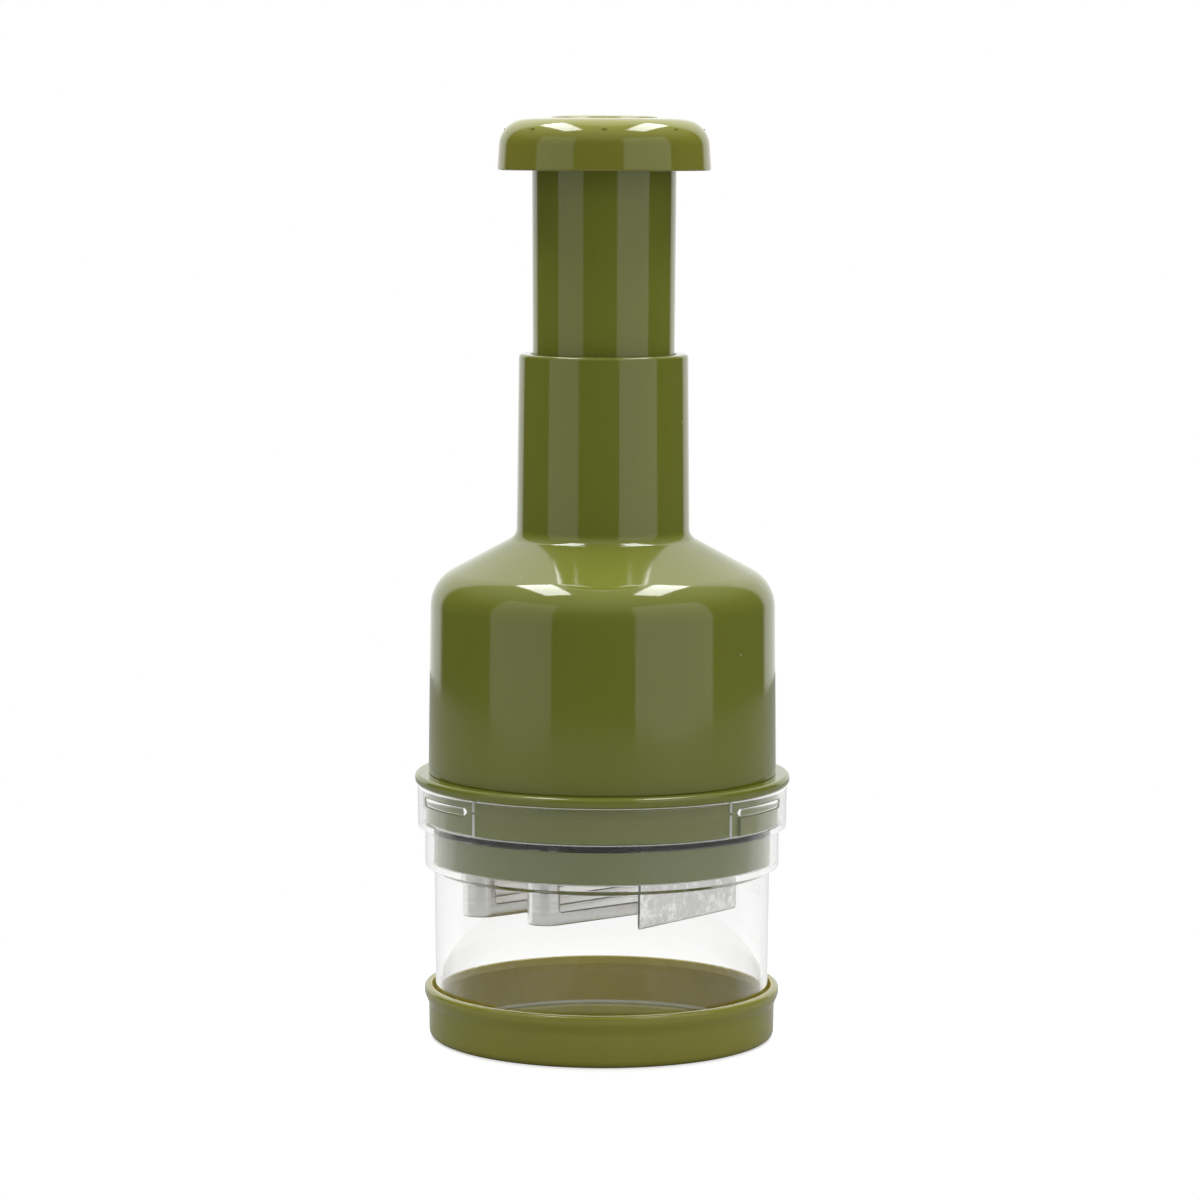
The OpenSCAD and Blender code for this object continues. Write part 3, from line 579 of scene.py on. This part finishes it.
class CHOPPER_OT_studio(bpy.types.Operator):
    """Camera at the photograph's place, pale table, overhead strip lamps and front panels"""

    bl_idname = "chopper.studio"
    bl_label = "Studio"

    CAMERA_PLACE = (-0.000687, -1.0423, 0.21766)
    SENSOR = 36
    STRIP_PLACE = (0.19, 0.06, 0.62)
    STRIP_SIZE = (0.13, 0.37)
    LEFT_PLACE = (-0.58, -0.40, 0.35)
    LEFT_SIZE = (0.58, 0.75)
    RIGHT_PLACE = (0.53, -0.47, 0.35)
    RIGHT_SIZE = (0.74, 0.75)
    TABLE_RADIUS = 0.75
    SEEN_GREY = 0.62  # the table's lightness to the camera, and the light it adds there
    SEEN_GLOW = 0.3
    CAMERA_GLOW = 0.27
    FADE = (0.06, 0.2)  # from the chopper, in metres
    TABLE_BEHIND = (-0.03, 0.03)  # where behind the chopper begins: on the table, in metres
    ROOM_BEHIND = (-0.5, 0.0)  # and in the room, as the share of a level direction that points back
    DIM = 0.03  # the room's light all round, and what it adds at the back and high up
    BACK, BACK_LIGHT = (0.69, 0.76), 1.05
    HIGH, HIGH_LIGHT = (0.35, 0.8), 0.55

    def execute(self, context):
        studio = context.scene.chopper_studio
        context.scene.view_settings.view_transform = "Standard"
        lens = bpy.data.cameras.new("front_camera")
        lens.sensor_width = self.SENSOR
        lens.lens = studio.focal
        lens.clip_start = 0.05
        camera = bpy.data.objects.new("front_camera", lens)
        context.scene.collection.objects.link(camera)
        tilt = Matrix.Rotation(math.pi / 2 - studio.pitch, 4, "X") @ Matrix.Rotation(studio.roll, 4, "Z")
        camera.matrix_world = Matrix.Translation(self.CAMERA_PLACE) @ tilt
        context.scene.camera = camera
        self.table(context, studio)
        x, y, z = self.STRIP_PLACE
        for side in (-1, 1):
            self.lamp(context, f"strip_lamp_{side}", (side * x, y, z), self.STRIP_SIZE, studio.strip_power)
        self.lamp(context, "left_panel", self.LEFT_PLACE, self.LEFT_SIZE, studio.left_power, upright=True)
        self.lamp(context, "right_panel", self.RIGHT_PLACE, self.RIGHT_SIZE, studio.right_power, upright=True)
        self.surroundings(context)
        return {"FINISHED"}

    def lamp(self, context, name, place, size, energy, upright=False):
        """A lamp that hangs level, or stands upright and faces the chopper."""
        light = bpy.data.lights.new(name, "AREA")
        light.shape = "RECTANGLE"
        light.size, light.size_y = size
        light.energy = energy
        lamp = bpy.data.objects.new(name, light)
        context.scene.collection.objects.link(lamp)
        lamp.location = place
        if upright:
            lamp.rotation_euler = Vector((place[0], place[1], 0)).to_track_quat("Z", "Y").to_euler()
        lamp.visible_camera = False

    def table(self, context, studio):
        """A round table that fades into the white room for the camera."""
        rings, count = 24, 96
        points = [(0.0, 0.0, 0.0)]
        for i in range(1, rings + 1):
            r = self.TABLE_RADIUS / MM * i / rings
            points += [(r * math.cos(a), r * math.sin(a), 0.0) for a in even_angles(count)]
        faces = []
        for k in range(count):
            m = (k + 1) % count
            faces.append((0, 1 + k, 1 + m))
            for i in range(rings - 1):
                a, b = 1 + i * count, 1 + (i + 1) * count
                faces.append((a + k, b + k, b + m, a + m))
        mesh = smooth_mesh("table", points, faces)
        finish, shader, place = new_finish("table_white", roughness=0.9)
        tree = shader.id_data
        seen = seen_directly(spread(parts_of(place)[1], *self.TABLE_BEHIND))
        grey = blended(seen, 3 * (studio.table_grey,), 3 * (self.SEEN_GREY,))
        shader.inputs["Specular IOR Level"].default_value = 0.2
        shader.inputs["Emission Color"].default_value = WHITE
        camera = tree.nodes.new("ShaderNodeLightPath").outputs["Is Camera Ray"]
        glow = total(product(seen, self.SEEN_GLOW), product(camera, self.CAMERA_GLOW))
        fed(shader, base_color=grey, emission_strength=glow)
        away = add_node(tree, "ShaderNodeVectorMath", {0: place}, operation="LENGTH").outputs["Value"]
        fade = spread(away, *self.FADE)
        white = add_node(tree, "ShaderNodeEmission", {"Color": WHITE, "Strength": 1.0})
        mixed_surface(product(fade, seen), shader, white)
        mesh.materials.append(finish)
        table = bpy.data.objects.new("table", mesh)
        context.scene.collection.objects.link(table)

    def surroundings(self, context):
        """White room behind and above, and dim in front. To the camera and through the clear wall it is all white."""
        world = bpy.data.worlds.new("light_room")
        world.use_nodes = True
        context.scene.world = world
        tree = world.node_tree
        x, y, z = parts_of(tree.nodes.new("ShaderNodeTexCoord").outputs["Generated"])
        flat = sums("SQRT", total(product(x, x), product(y, y)))
        ahead = sums("DIVIDE", y, sums("MAXIMUM", flat, 0.01))
        back = product(spread(ahead, *self.BACK), self.BACK_LIGHT)
        high = product(spread(z, *self.HIGH), self.HIGH_LIGHT)
        strength = total(total(self.DIM, back), high)
        seen = seen_directly(spread(ahead, *self.ROOM_BEHIND))
        shown = add_node(tree, "ShaderNodeMix", {0: seen, 2: strength, 3: 1.0}).outputs[0]
        background = tree.nodes["Background"]
        fed(background, strength=shown)
        background.inputs["Color"].default_value = WHITE


class CHOPPER_OT_base_cap(bpy.types.Operator):
    """Dish with a foot ring and a rolled lip"""

    bl_idname = "chopper.base_cap"
    bl_label = "Base cap"

    def execute(self, context):
        sizes = context.scene.chopper_moulding
        edge = sizes.edge_round / MM
        lip, top = reach_of("base_cap") / MM, top_of("base_cap") / MM
        recess, ring, wall, mouth, bore = 37.3, 42.3, 42.47, 41.65, 41.15
        under, floor = 0.4, 1.5
        outline = rounded(
            [(0, under, 0), (recess, under, 0.15), (recess, 0, edge), (ring, 0, 1.6), (wall, top - 4.4, 4),
             (lip, top - 2.1, 2.4), (lip, top, 0.8), (mouth, top, edge), (bore, top - 1.7, edge),
             (bore, floor, 0.8), (0, floor, 0)]
        )
        mesh = revolved("base_cap_moulding", outline, even_angles(sizes.segments))
        # The far inner wall's faces take the second finish, the olive lightened with painted light
        nearest, farthest, lowest = 41 * MM, 42 * MM, 2 * MM  # bounds of the inner wall's faces
        for face in mesh.polygons:
            corners = [mesh.vertices[v].co for v in face.vertices]
            if all(nearest < p.xy.length < farthest and p.z > lowest for p in corners):
                face.material_index = 1
        placed("base_cap_moulding", mesh, "base", ["base_cap"], "green_gloss", "warm_olive", "dish_olive")
        return {"FINISHED"}


class CHOPPER_OT_clear_cup(bpy.types.Operator):
    """Clear wall in three tiers, with two bayonet pockets and four raised ribs"""

    bl_idname = "chopper.clear_cup"
    bl_label = "Clear cup"

    def execute(self, context):
        sizes = context.scene.chopper_moulding
        half_pocket, rib_turn, half_rib = math.radians(46.5), math.radians(30), math.radians(11.5)
        foot, top = foot_of("clear_cup") / MM, top_of("clear_cup") / MM
        ledge, web = foot_of("wiper_plate") / MM, foot_of("lock_ring") / MM - 0.3
        chamber, waist, tier_bore, tier, wall, pocket, collar = 39.2, 40.8, 41.5, 43.3, 43.5, 44.3, 45.2
        rib_z, rib_half, end_round, brow = top - 2.9, 0.95, 0.25, 0.7
        outer = rounded(
            [(chamber, foot, 0.3), (waist, foot, 0.3), (waist, foot + brow, 0), (waist + 0.2, ledge - 2.3, 0.4),
             (tier, ledge - 1.3, 0.3), (tier, web - 1.4, 0.2), (collar - 0.15, web - 1.4, 0.3), (collar, top, 0.45),
             (wall, top, 0)]
        )
        inner = rounded(
            [(wall, web, 0), (tier_bore, web, 0.2), (tier_bore, ledge, 0.3), (chamber, ledge, 0.35),
             (chamber, foot + brow, 0), (chamber, foot, 0)]
        )

        def outline(angle):
            """The wall's section. In a pocket the collar is thinner, and a rib stands up from it."""
            across = math.remainder(angle, math.pi)
            inside = abs(across) < half_pocket
            skin = pocket if inside else wall
            past = max(0.0, abs(abs(across) - rib_turn) - half_rib) * wall
            height = math.sqrt(max(0.0, rib_half**2 - past**2)) if past < rib_half and inside else 0.0
            rise = wall if height > 0.02 else skin
            h = max(height, 0.02)
            crest = h - end_round * 0.7 * (h > 0.3)
            upper = [(skin, h + end_round), (skin + (rise - skin) * 0.3, h + end_round * 0.3),
                     (rise + (skin - rise) * 0.15, h - 0.02), (rise, crest)]
            rib = [(r, rib_z + z) for r, z in upper] + [(r, rib_z - z) for r, z in reversed(upper)]
            return [*outer[:-1], (skin, top), *rib, (skin, web + 0.1), (wall, web + 0.1 * inside), *inner[1:-1]]

        ends = []
        along_end = (0.0, 0.25, 0.5, 0.7, 0.85, 0.95, 0.995, 1.02)  # shares of a rib's round end
        for side in (0, math.pi):
            for turn in (-rib_turn, rib_turn):
                for way in (-1, 1):
                    for share in along_end:
                        ends.append((side + turn + way * (half_rib + share * rib_half / wall)) % FULL)
        clear_of_ends = 0.002
        angles = [
            a for a in even_angles(sizes.segments)
            if all(abs(math.remainder(a - e, FULL)) > clear_of_ends for e in ends)
        ]
        seams = [side + way * half_pocket for side in (0, math.pi) for way in (-1, 1)]
        mesh = revolved("clear_cup_wall", outline, with_steps(sorted(angles + ends), seams, 0.008), sharp=40)
        near, tall_step = 0.05, 1
        for face in mesh.polygons:
            corners = [mesh.vertices[v].co for v in face.vertices]
            reach = sorted(p.xy.length / MM for p in corners)
            tall = (max(p.z for p in corners) - min(p.z for p in corners)) / MM
            # The foot band and the pocket seams take the second finish, a painted highlight for their glints
            seam = tall > tall_step and abs(reach[0] - wall) < near and abs(reach[-1] - pocket) < near
            if seam or all(p.z < (foot + brow + near) * MM for p in corners):
                face.material_index = 1
        placed("clear_cup_wall", mesh, "cup", ["clear_cup"], "clear_plastic", "clear_wall", "frosted_edge")
        return {"FINISHED"}


class CHOPPER_OT_lock_ring(bpy.types.Operator):
    """Flange with a skirt and two lugs that lock in the cup's collar"""

    bl_idname = "chopper.lock_ring"
    bl_label = "Lock ring"

    def execute(self, context):
        sizes = context.scene.chopper_moulding
        edge = sizes.edge_round / MM
        rim, foot = reach_of("lock_ring") / MM, foot_of("lock_ring") / MM
        lug_turn, half_lug = math.radians(-30), math.radians(12)
        lip, skirt, lug, bore, spigot, spigot_bore = 39.9, 43.2, 44.0, 40.9, 40.1, 38.1
        lug_top, flange, seat, spigot_top = 58.3, 62.7, 65.2, 71.2
        ring = rounded(
            [(skirt, lug_top, 0), (skirt, flange, 0.1), (rim, flange, 0.9), (rim, seat, 0.9), (spigot, seat, 0.05),
             (spigot, spigot_top, edge), (spigot_bore, spigot_top, edge), (spigot_bore, flange + 0.8, edge),
             (bore, flange - 2, edge), (bore, foot + 2.5, edge), (lip, foot + 1.5, edge), (lip, foot, 0)]
        )

        def outline(angle):
            """The ring's section, with the lug's step at the skirt's foot."""
            out = lug if abs(math.remainder(angle - lug_turn, math.pi)) < half_lug else skirt
            step = [(out, foot + 0.2), (out, lug_top - 0.15), (out - 0.12 * (out > skirt), lug_top)]
            return [*step, *ring[:-1], (lip, foot), (out - 0.2, foot)]

        steps = [lug_turn + side + way * half_lug for side in (0, math.pi) for way in (-1, 1)]
        mesh = revolved("lock_ring_moulding", outline, with_steps(even_angles(sizes.segments), steps, 0.003))
        placed("lock_ring_moulding", mesh, "housing", ["lock_ring"], "green_gloss", "gloss_olive")
        return {"FINISHED"}


class CHOPPER_OT_bell(bpy.types.Operator):
    """Moulded bell with a long neck, a stop ledge inside and three screw bosses"""

    bl_idname = "chopper.bell"
    bl_label = "Bell housing"

    def execute(self, context):
        sizes = context.scene.chopper_moulding
        edge, wall = sizes.edge_round / MM, sizes.bell_wall / MM
        foot, top = foot_of("bell_housing") / MM, top_of("bell_housing") / MM
        skirt, body, throat, neck, guide, bore, recess = 42.5, 41.95, 21.05, 20.55, 17.75, 18.6, 24.2
        shoulder, shoulder_round, neck_foot, stop = 111.9, 10, 123.2, 119.0
        outline = rounded(
            [(skirt, foot, edge), (body, shoulder, shoulder_round), (throat, neck_foot, 3.2), (neck, top, 0.8),
             (guide, top, edge), (guide, top - 3, edge), (bore, top - 3.85, edge), (bore, stop, edge),
             (recess, stop, edge), (body - wall, shoulder - 1.35, shoulder_round - wall), (skirt - wall, foot, edge)],
            steps=16,
        )
        mesh = revolved("bell_moulding", outline, even_angles(sizes.segments))
        bell = placed("bell_moulding", mesh, "housing", ["bell_housing"], "green_gloss", "gloss_olive")
        hole, boss, boss_foot, boss_top = 1.45, 3.4, 110, 116.5
        section = rounded([(hole, boss_foot, 0.1), (boss, boss_foot, 0.2), (boss, boss_top, 0), (hole, boss_top, 0)])
        bosses = ring_of("bell_bosses", revolved("boss", section, even_angles(32)), "gloss_olive", 3, SCREW_CIRCLE, 30)
        slope = (neck_foot - shoulder) / (body - throat)
        for corner in bosses.vertices:
            if corner.co.z > (boss_foot + 5) * MM:  # the bosses end inside the shoulder's sloping wall
                corner.co.z = (shoulder - 0.6 * wall) * MM + slope * (body * MM - corner.co.xy.length)
        added("bell_bosses", bosses, bell, "housing", "green_gloss", "gloss_olive")
        return {"FINISHED"}


class CHOPPER_OT_knob(bpy.types.Operator):
    """Mushroom knob with ribs under it, and its domed cap"""

    bl_idname = "chopper.knob"
    bl_label = "Knob and cap"

    def execute(self, context):
        sizes = context.scene.chopper_moulding
        edge, turn = sizes.edge_round / MM, sizes.knob_round / MM
        foot, rim, face = foot_of("knob") / MM, reach_of("knob") / MM, top_of("knob_cap") / MM
        roof, pad, seat = foot + 12, foot + 7.81, foot + 10.9
        socket, sleeve, cap_seat, wall, draft = 17.5, 19.55, 13.05, 2.2, 0.75
        outline = rounded(
            [(0, pad, 0), (socket, pad, edge), (socket, foot + 1, edge), (sleeve, foot + 1, edge),
             (sleeve, roof - wall, 0.6), (rim - draft - wall, roof - wall, turn - wall), (rim - wall, foot, edge),
             (rim, foot, 0.5), (rim - draft, roof, turn), (cap_seat, roof + 0.7, 0.15), (cap_seat, seat, 0.1),
             (0, seat, 0)],
            steps=12,
        )
        mesh = revolved("knob_moulding", outline, even_angles(sizes.segments))
        knob = placed("knob_moulding", mesh, "plunger", ["knob"], "green_gloss", "knob_olive")
        self.ribs(knob, sizes, foot, roof)
        disc, dome, dome_from, rise, steps = 12.98, 12.65, 12.3, 0.55, 24
        swings = [math.pi / 2 * k / steps for k in range(1, steps)]
        crown = [(dome * math.cos(t), face - rise + rise * math.sin(t)) for t in swings]
        guide = (12.0, face - 0.42, 0)  # only gives the rim's round its direction
        lip = rounded([(0, seat, 0), (disc, seat, 0.2), (disc, face - rise, 0.35), guide], steps=8)
        profile = [*lip[:-1], *[(r, z) for r, z in crown if r < dome_from], (0, face)]
        cap = revolved("knob_cap_disc", profile, even_angles(sizes.segments))
        placed("knob_cap_disc", cap, "plunger", ["knob_cap"], "green_gloss", "knob_olive")
        return {"FINISHED"}

    def ribs(self, knob, sizes, foot, roof):
        """Thin ribs between the knob's socket and its rim."""
        low, high, half, thin, chamfer, circle = foot + 3.5, roof - 2, 2.6, 0.55, 0.6, 21.6
        profile = [(-half, low + chamfer), (chamfer - half, low), (half, low), (half, high), (-half, high)]
        points = [(x, y, z) for y in (-thin, thin) for x, z in profile]
        count = len(profile)
        faces = [tuple(range(count)), tuple(range(2 * count - 1, count - 1, -1))]
        faces += [(k, (k + 1) % count, count + (k + 1) % count, count + k) for k in range(count)]
        ribs = ring_of("knob_ribs", smooth_mesh("rib", points, faces), "knob_olive", sizes.knob_ribs, circle)
        added("knob_ribs", ribs, knob, "plunger", "green_gloss", "knob_olive")


class CHOPPER_OT_blade(bpy.types.Operator):
    """One serpentine strip: full-height bends and end legs, windows between them, and a ground cutting edge"""

    bl_idname = "chopper.blade"
    bl_label = "Blade"

    BENDS = (0.71, -0.863, 0.93, -1, 0.72)  # shares of the reach
    FIRST_END = (-0.503, -1.013)
    LAST_END = (-0.807, 0.787)
    LAP = 0.6  # full height kept on each side of a bend
    BURR_AND_SHADE = 0.18  # width of the band along a sheared edge that is darkened: partly a burr, mostly painted shade
    BEND_STEPS = 24
    END_STEPS = 12
    LEVELS = 6  # heights at each station: foot, top of the darkened edge band, grind, under the brim, brim and top

    def route(self, sizes):
        """Stations of the strip's middle line: (point, direction, how far inside a window it is, or less than 0)."""
        reach, pitch = sizes.reach / MM, sizes.leg_pitch / MM
        radius = (sizes.bend_radius - sizes.thickness / 2) / MM
        last = len(self.BENDS)
        stops = [Vector(self.FIRST_END) * reach]
        stops += [Vector((reach * share, pitch * (i - last // 2))) for i, share in enumerate(self.BENDS)]
        stops += [Vector(self.LAST_END) * reach]
        radii = [0, *(radius if i % 2 == 0 else -radius for i in range(last)), 0]
        headings = []
        for i in range(last + 1):
            gap = stops[i + 1] - stops[i]
            headings.append(math.atan2(gap.y, gap.x) + math.asin((radii[i] - radii[i + 1]) / gap.length))

        def at(i, a):
            return stops[i] - radii[i] * Vector((-math.sin(a), math.cos(a)))

        stations = []
        lap, corner, burr_and_shade = self.LAP, sizes.window_round / MM, self.BURR_AND_SHADE
        for i, a in enumerate(headings):
            ahead = Vector((math.cos(a), math.sin(a)))
            start = at(i, a)
            length = (at(i + 1, a) - start).length
            end_leg = i in (0, last)
            if end_leg:
                steps = (length * k / self.END_STEPS for k in range(1, self.END_STEPS))
                marks = [0, burr_and_shade, *steps, length - burr_and_shade, length]
            else:
                marks = [0, lap - burr_and_shade, lap, *(lap + corner * share for share in (0.15, 0.4, 1)), lap + corner + 1]
                marks += [length - m for m in reversed(marks)]
            for m in marks:
                if end_leg:
                    inside = -(m if i == 0 else length - m)
                else:
                    inside = min(m, length - m) - lap
                stations.append((start + ahead * m, a, inside))
            if i < last:
                sense = 1 if radii[i + 1] > 0 else -1
                swing = sense * ((sense * (headings[i + 1] - a)) % FULL)
                for k in range(1, self.BEND_STEPS):
                    b = a + swing * k / self.BEND_STEPS
                    stations.append((at(i + 1, b), b, -lap))
        return stations

    def execute(self, context):
        sizes = context.scene.chopper_blade
        low, high = foot_of("zigzag_blade") / MM, top_of("zigzag_blade") / MM
        half, band, corner = sizes.thickness / MM / 2, sizes.band / MM, sizes.window_round / MM
        grind, burr_and_shade = sizes.grind / MM, self.BURR_AND_SHADE
        turn = Matrix.Rotation(sizes.turn, 2)
        points = []
        stations = self.route(sizes)
        for spot, a, inside in stations:
            past = max(0.0, min(inside, corner))
            brim = low + band + corner - math.sqrt(max(0.0, corner**2 - (corner - past) ** 2))
            left = Vector((-math.sin(a), math.cos(a)))
            heights = (low, low + burr_and_shade, low + grind, brim - burr_and_shade, brim, high)
            for z, share in zip(heights, (0.3, 0.45, 1.0, 1.0, 1.0, 1.0)):
                for side in (-1, 1):
                    p = turn @ (spot + left * side * half * share)
                    points.append((p.x, p.y, z))
        faces, cut = self.skin(stations)
        mesh = smooth_mesh("blade_strip", points, faces + cut, sharp=30)
        # The edge faces take the second finish, the painted edge shade
        for face in mesh.polygons[len(faces):]:
            face.material_index = 1
        placed("blade_strip", mesh, "blade_rotor", ["zigzag_blade"], "stainless", "blade_steel", "cut_edge")
        return {"FINISHED"}

    def skin(self, stations):
        """The strip's faces: the rolled ones, and the dark ones along every sheared or ground edge, whose darkness is
        partly a burr and mostly painted shade and dark reflection.
        """
        faces, cut = [], []
        step, count, brim = 2 * self.LEVELS, len(stations), 2 * (self.LEVELS - 2)
        tall = [max(stations[i][2], stations[i + 1][2]) < 1e-6 for i in range(count - 1)]
        for i in range(count - 1):
            a, b = step * i, step * (i + 1)
            border = tall[i] and min(stations[i][2], stations[i + 1][2]) > -1.01 * self.BURR_AND_SHADE
            top = brim + 2 * tall[i]
            for m in range(0, top, 2):
                n = m + 2
                shaded_row = m == 0 or (m >= brim - 2 and (border or not tall[i]))
                sides = [(a + m, b + m, b + n, a + n), (a + n + 1, b + n + 1, b + m + 1, a + m + 1)]
                (cut if shaded_row else faces).extend(sides)
            cut += [(a + top, b + top, b + top + 1, a + top + 1), (a, a + 1, b + 1, b)]
            if i > 0 and tall[i] != tall[i - 1]:
                cut.append((a + brim, a + brim + 1, a + brim + 3, a + brim + 2))
        for a in (0, step * (count - 1)):
            cut += [(a + m, a + m + 2, a + m + 3, a + m + 1) for m in range(0, step - 2, 2)]
        return faces, cut


class CHOPPER_OT_spring(bpy.types.Operator):
    """Return spring with closed end turns"""

    bl_idname = "chopper.spring"
    bl_label = "Return spring"

    def coil_tree(self):
        tree, given, output = new_tree(
            "coil_spring",
            {"Wire": ("Float", 0.0015), "Coil radius": ("Float", 0.0074), "Turns": ("Int", 17),
             "End gap": ("Float", 0.0005), "Foot": ("Float", 0.0), "Top": ("Float", 0.1)},
        )
        turns, wire, radius = given["Turns"], given["Wire"], given["Coil radius"]
        line = add_node(
            tree,
            "GeometryNodeCurveSpiral",
            {"Resolution": 40, "Rotations": turns, "Start Radius": radius, "End Radius": radius, "Height": 0.0},
        )
        t = product(tree.nodes.new("GeometryNodeSplineParameter").outputs["Factor"], turns)
        closed = total(wire, given["End gap"])
        rise = less(less(given["Top"], given["Foot"]), wire)
        middle = less(turns, 2.0)
        free = sums("DIVIDE", less(rise, product(closed, 2.0)), middle)

        def share(start, length):
            """Turns past a start, held between 0 and a length."""
            return sums("MINIMUM", sums("MAXIMUM", less(t, start), 0.0), length)

        level = total(product(share(0.0, 1.0), closed), product(share(1.0, middle), free))
        level = total(level, product(share(less(turns, 1.0), 1.0), closed))
        thick = sums("DIVIDE", wire, 2.0)
        level = total(level, total(given["Foot"], thick))
        lift = add_node(tree, "ShaderNodeCombineXYZ", {2: level})
        raised = add_node(tree, "GeometryNodeSetPosition", {"Geometry": line.outputs[0], "Offset": lift.outputs[0]})
        section = add_node(tree, "GeometryNodeCurvePrimitiveCircle", {"Resolution": 14, "Radius": thick})
        swept = add_node(
            tree,
            "GeometryNodeCurveToMesh",
            {"Curve": raised.outputs[0], "Profile Curve": section.outputs[0], "Fill Caps": True},
        )
        end_tree(tree, swept.outputs[0], output, "bright_wire")
        return tree

    def execute(self, context):
        sizes = context.scene.chopper_spring
        foot, top = foot_of("return_spring"), top_of("return_spring")
        values = {"Wire": sizes.wire, "Coil radius": sizes.coil_radius, "Turns": sizes.turns, "End gap": sizes.end_gap}
        mesh = shaded(grown("return_coil", self.coil_tree(), {**values, "Foot": foot, "Top": top}), sharp=50)
        coil = placed("return_coil", mesh, "wiper", ["return_spring"], "stainless", "bright_wire")
        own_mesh(coil)
        return {"FINISHED"}


class CHOPPER_OT_screws(bpy.types.Operator):
    """Socket screws of the index ring, the carrier and the knob"""

    bl_idname = "chopper.screws"
    bl_label = "Screws"

    # Radius of the shank, radius and height of the head, and length under it, in mm
    INDEX = (1.4, 2.6, 2, 8.2)
    CARRIER = (1.4, 2.6, 2, 5.3)
    KNOB = (1.6, 3, 1.8, 12.2)
    CARRIER_CIRCLE = 16.4
    SOCKET_DEPTH = 1.1
    SOCKET_HALF = 0.95  # half the width across its flats
    THREAD = 0.5

    def screw(self, shank, head, head_h, length):
        """Screw with its head's top at zero: rounded head, six-sided socket and a ridged shank."""
        shape = [(0, -self.SOCKET_DEPTH), ("socket", -self.SOCKET_DEPTH), ("socket", -0.08), ("brim", 0)]
        guide = (1.3, 0, 0)  # only gives the head's round its direction
        shape += rounded([guide, (head, 0, 0.35), (head, -head_h, 0.15), (shank - 0.1, -head_h, 0)], steps=4)[1:]
        for k in range(int((length - 0.6) / self.THREAD)):
            z = -head_h - 0.25 - self.THREAD * k
            shape += [(shank - 0.22, z), (shank - 0.02, z - 0.2), (shank - 0.02, z - 0.28)]
        shape += [(shank - 0.25, -head_h - length + 0.35), (shank - 0.7, -head_h - length), (0, -head_h - length)]

        def outline(angle):
            """The section, with the socket's flats."""
            flat = self.SOCKET_HALF / math.cos(math.remainder(angle, math.pi / 3))
            wide = {"socket": flat, "brim": flat + 0.1}
            return [(wide.get(r, r), z) for r, z in shape]

        return revolved("screw", outline, even_angles(48), sharp=32)

    def execute(self, context):
        index = self.screw(*self.INDEX)
        foot, top = foot_of("index_screws"), top_of("carrier_screws")
        mesh = ring_of("index_ring_screws", index, "bright_wire", 3, SCREW_CIRCLE, 30, foot, math.pi)
        placed("index_ring_screws", mesh, "housing", ["index_screws"], "stainless", "bright_wire")
        carrier = self.screw(*self.CARRIER)
        mesh = ring_of("carrier_screw_set", carrier, "bright_wire", 4, self.CARRIER_CIRCLE, 45, top)
        placed("carrier_screw_set", mesh, "blade_rotor", ["carrier_screws"], "stainless", "bright_wire")
        knob = self.screw(*self.KNOB)
        knob.transform(Matrix.Translation((0, 0, top_of("knob_screw"))))
        placed("knob_socket_screw", knob, "plunger", ["knob_screw"], "stainless", "bright_wire")
        return {"FINISHED"}


class CHOPPER_OT_inner_pieces(bpy.types.Operator):
    """Finishes of the pieces that keep their construction shape"""

    bl_idname = "chopper.inner_pieces"
    bl_label = "Inner pieces"

    NODES = {
        "plunger_tube": "gloss_olive",
        "index_ring": "satin_olive",
        "drive_crown": "satin_olive",
        "rotor_crown": "satin_olive",
        "blade_shaft": "satin_olive",
        "blade_carrier": "satin_olive",
        "wiper_plate": "satin_olive",
        "stop_washer": "stop_rubber",
        "spring_washer": "bright_wire",
    }

    def execute(self, context):
        for node, finish in self.NODES.items():
            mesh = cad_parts[node].data
            mesh.materials.clear()
            mesh.materials.append(finish_of(finish))
        return {"FINISHED"}


class CHOPPER_PT_pieces(bpy.types.Panel):
    """The chopper's pieces and settings"""

    bl_label = "Chopper"
    bl_idname = "CHOPPER_PT_pieces"
    bl_space_type = "VIEW_3D"
    bl_region_type = "UI"
    bl_category = "Chopper"

    def draw(self, context):
        for piece in PIECES:
            self.layout.operator(piece.bl_idname)
        for name in SETTINGS:
            box = self.layout.box()
            group = getattr(context.scene, name)
            for label in group.bl_rna.properties.keys():
                if label not in {"rna_type", "name"}:
                    box.prop(group, label)


PIECES = (
    CHOPPER_OT_studio,
    CHOPPER_OT_base_cap,
    CHOPPER_OT_clear_cup,
    CHOPPER_OT_lock_ring,
    CHOPPER_OT_bell,
    CHOPPER_OT_knob,
    CHOPPER_OT_blade,
    CHOPPER_OT_spring,
    CHOPPER_OT_screws,
    CHOPPER_OT_inner_pieces,
)
SETTINGS = {
    "chopper_moulding": MouldingSizes,
    "chopper_blade": BladeSizes,
    "chopper_spring": SpringSizes,
    "chopper_colours": ChopperColours,
    "chopper_studio": StudioSettings,
}


def register():
    for group in SETTINGS.values():
        bpy.utils.register_class(group)
    for name, group in SETTINGS.items():
        setattr(bpy.types.Scene, name, bpy.props.PointerProperty(type=group))
    for piece in (*PIECES, CHOPPER_PT_pieces):
        bpy.utils.register_class(piece)


def unregister():
    for piece in reversed((*PIECES, CHOPPER_PT_pieces)):
        bpy.utils.unregister_class(piece)
    for name in SETTINGS:
        delattr(bpy.types.Scene, name)
    for group in reversed(list(SETTINGS.values())):
        bpy.utils.unregister_class(group)


def main():
    register()
    for piece in PIECES:
        family, verb = piece.bl_idname.split(".")
        getattr(getattr(bpy.ops, family), verb)()


if __name__ == "__main__":
    main()
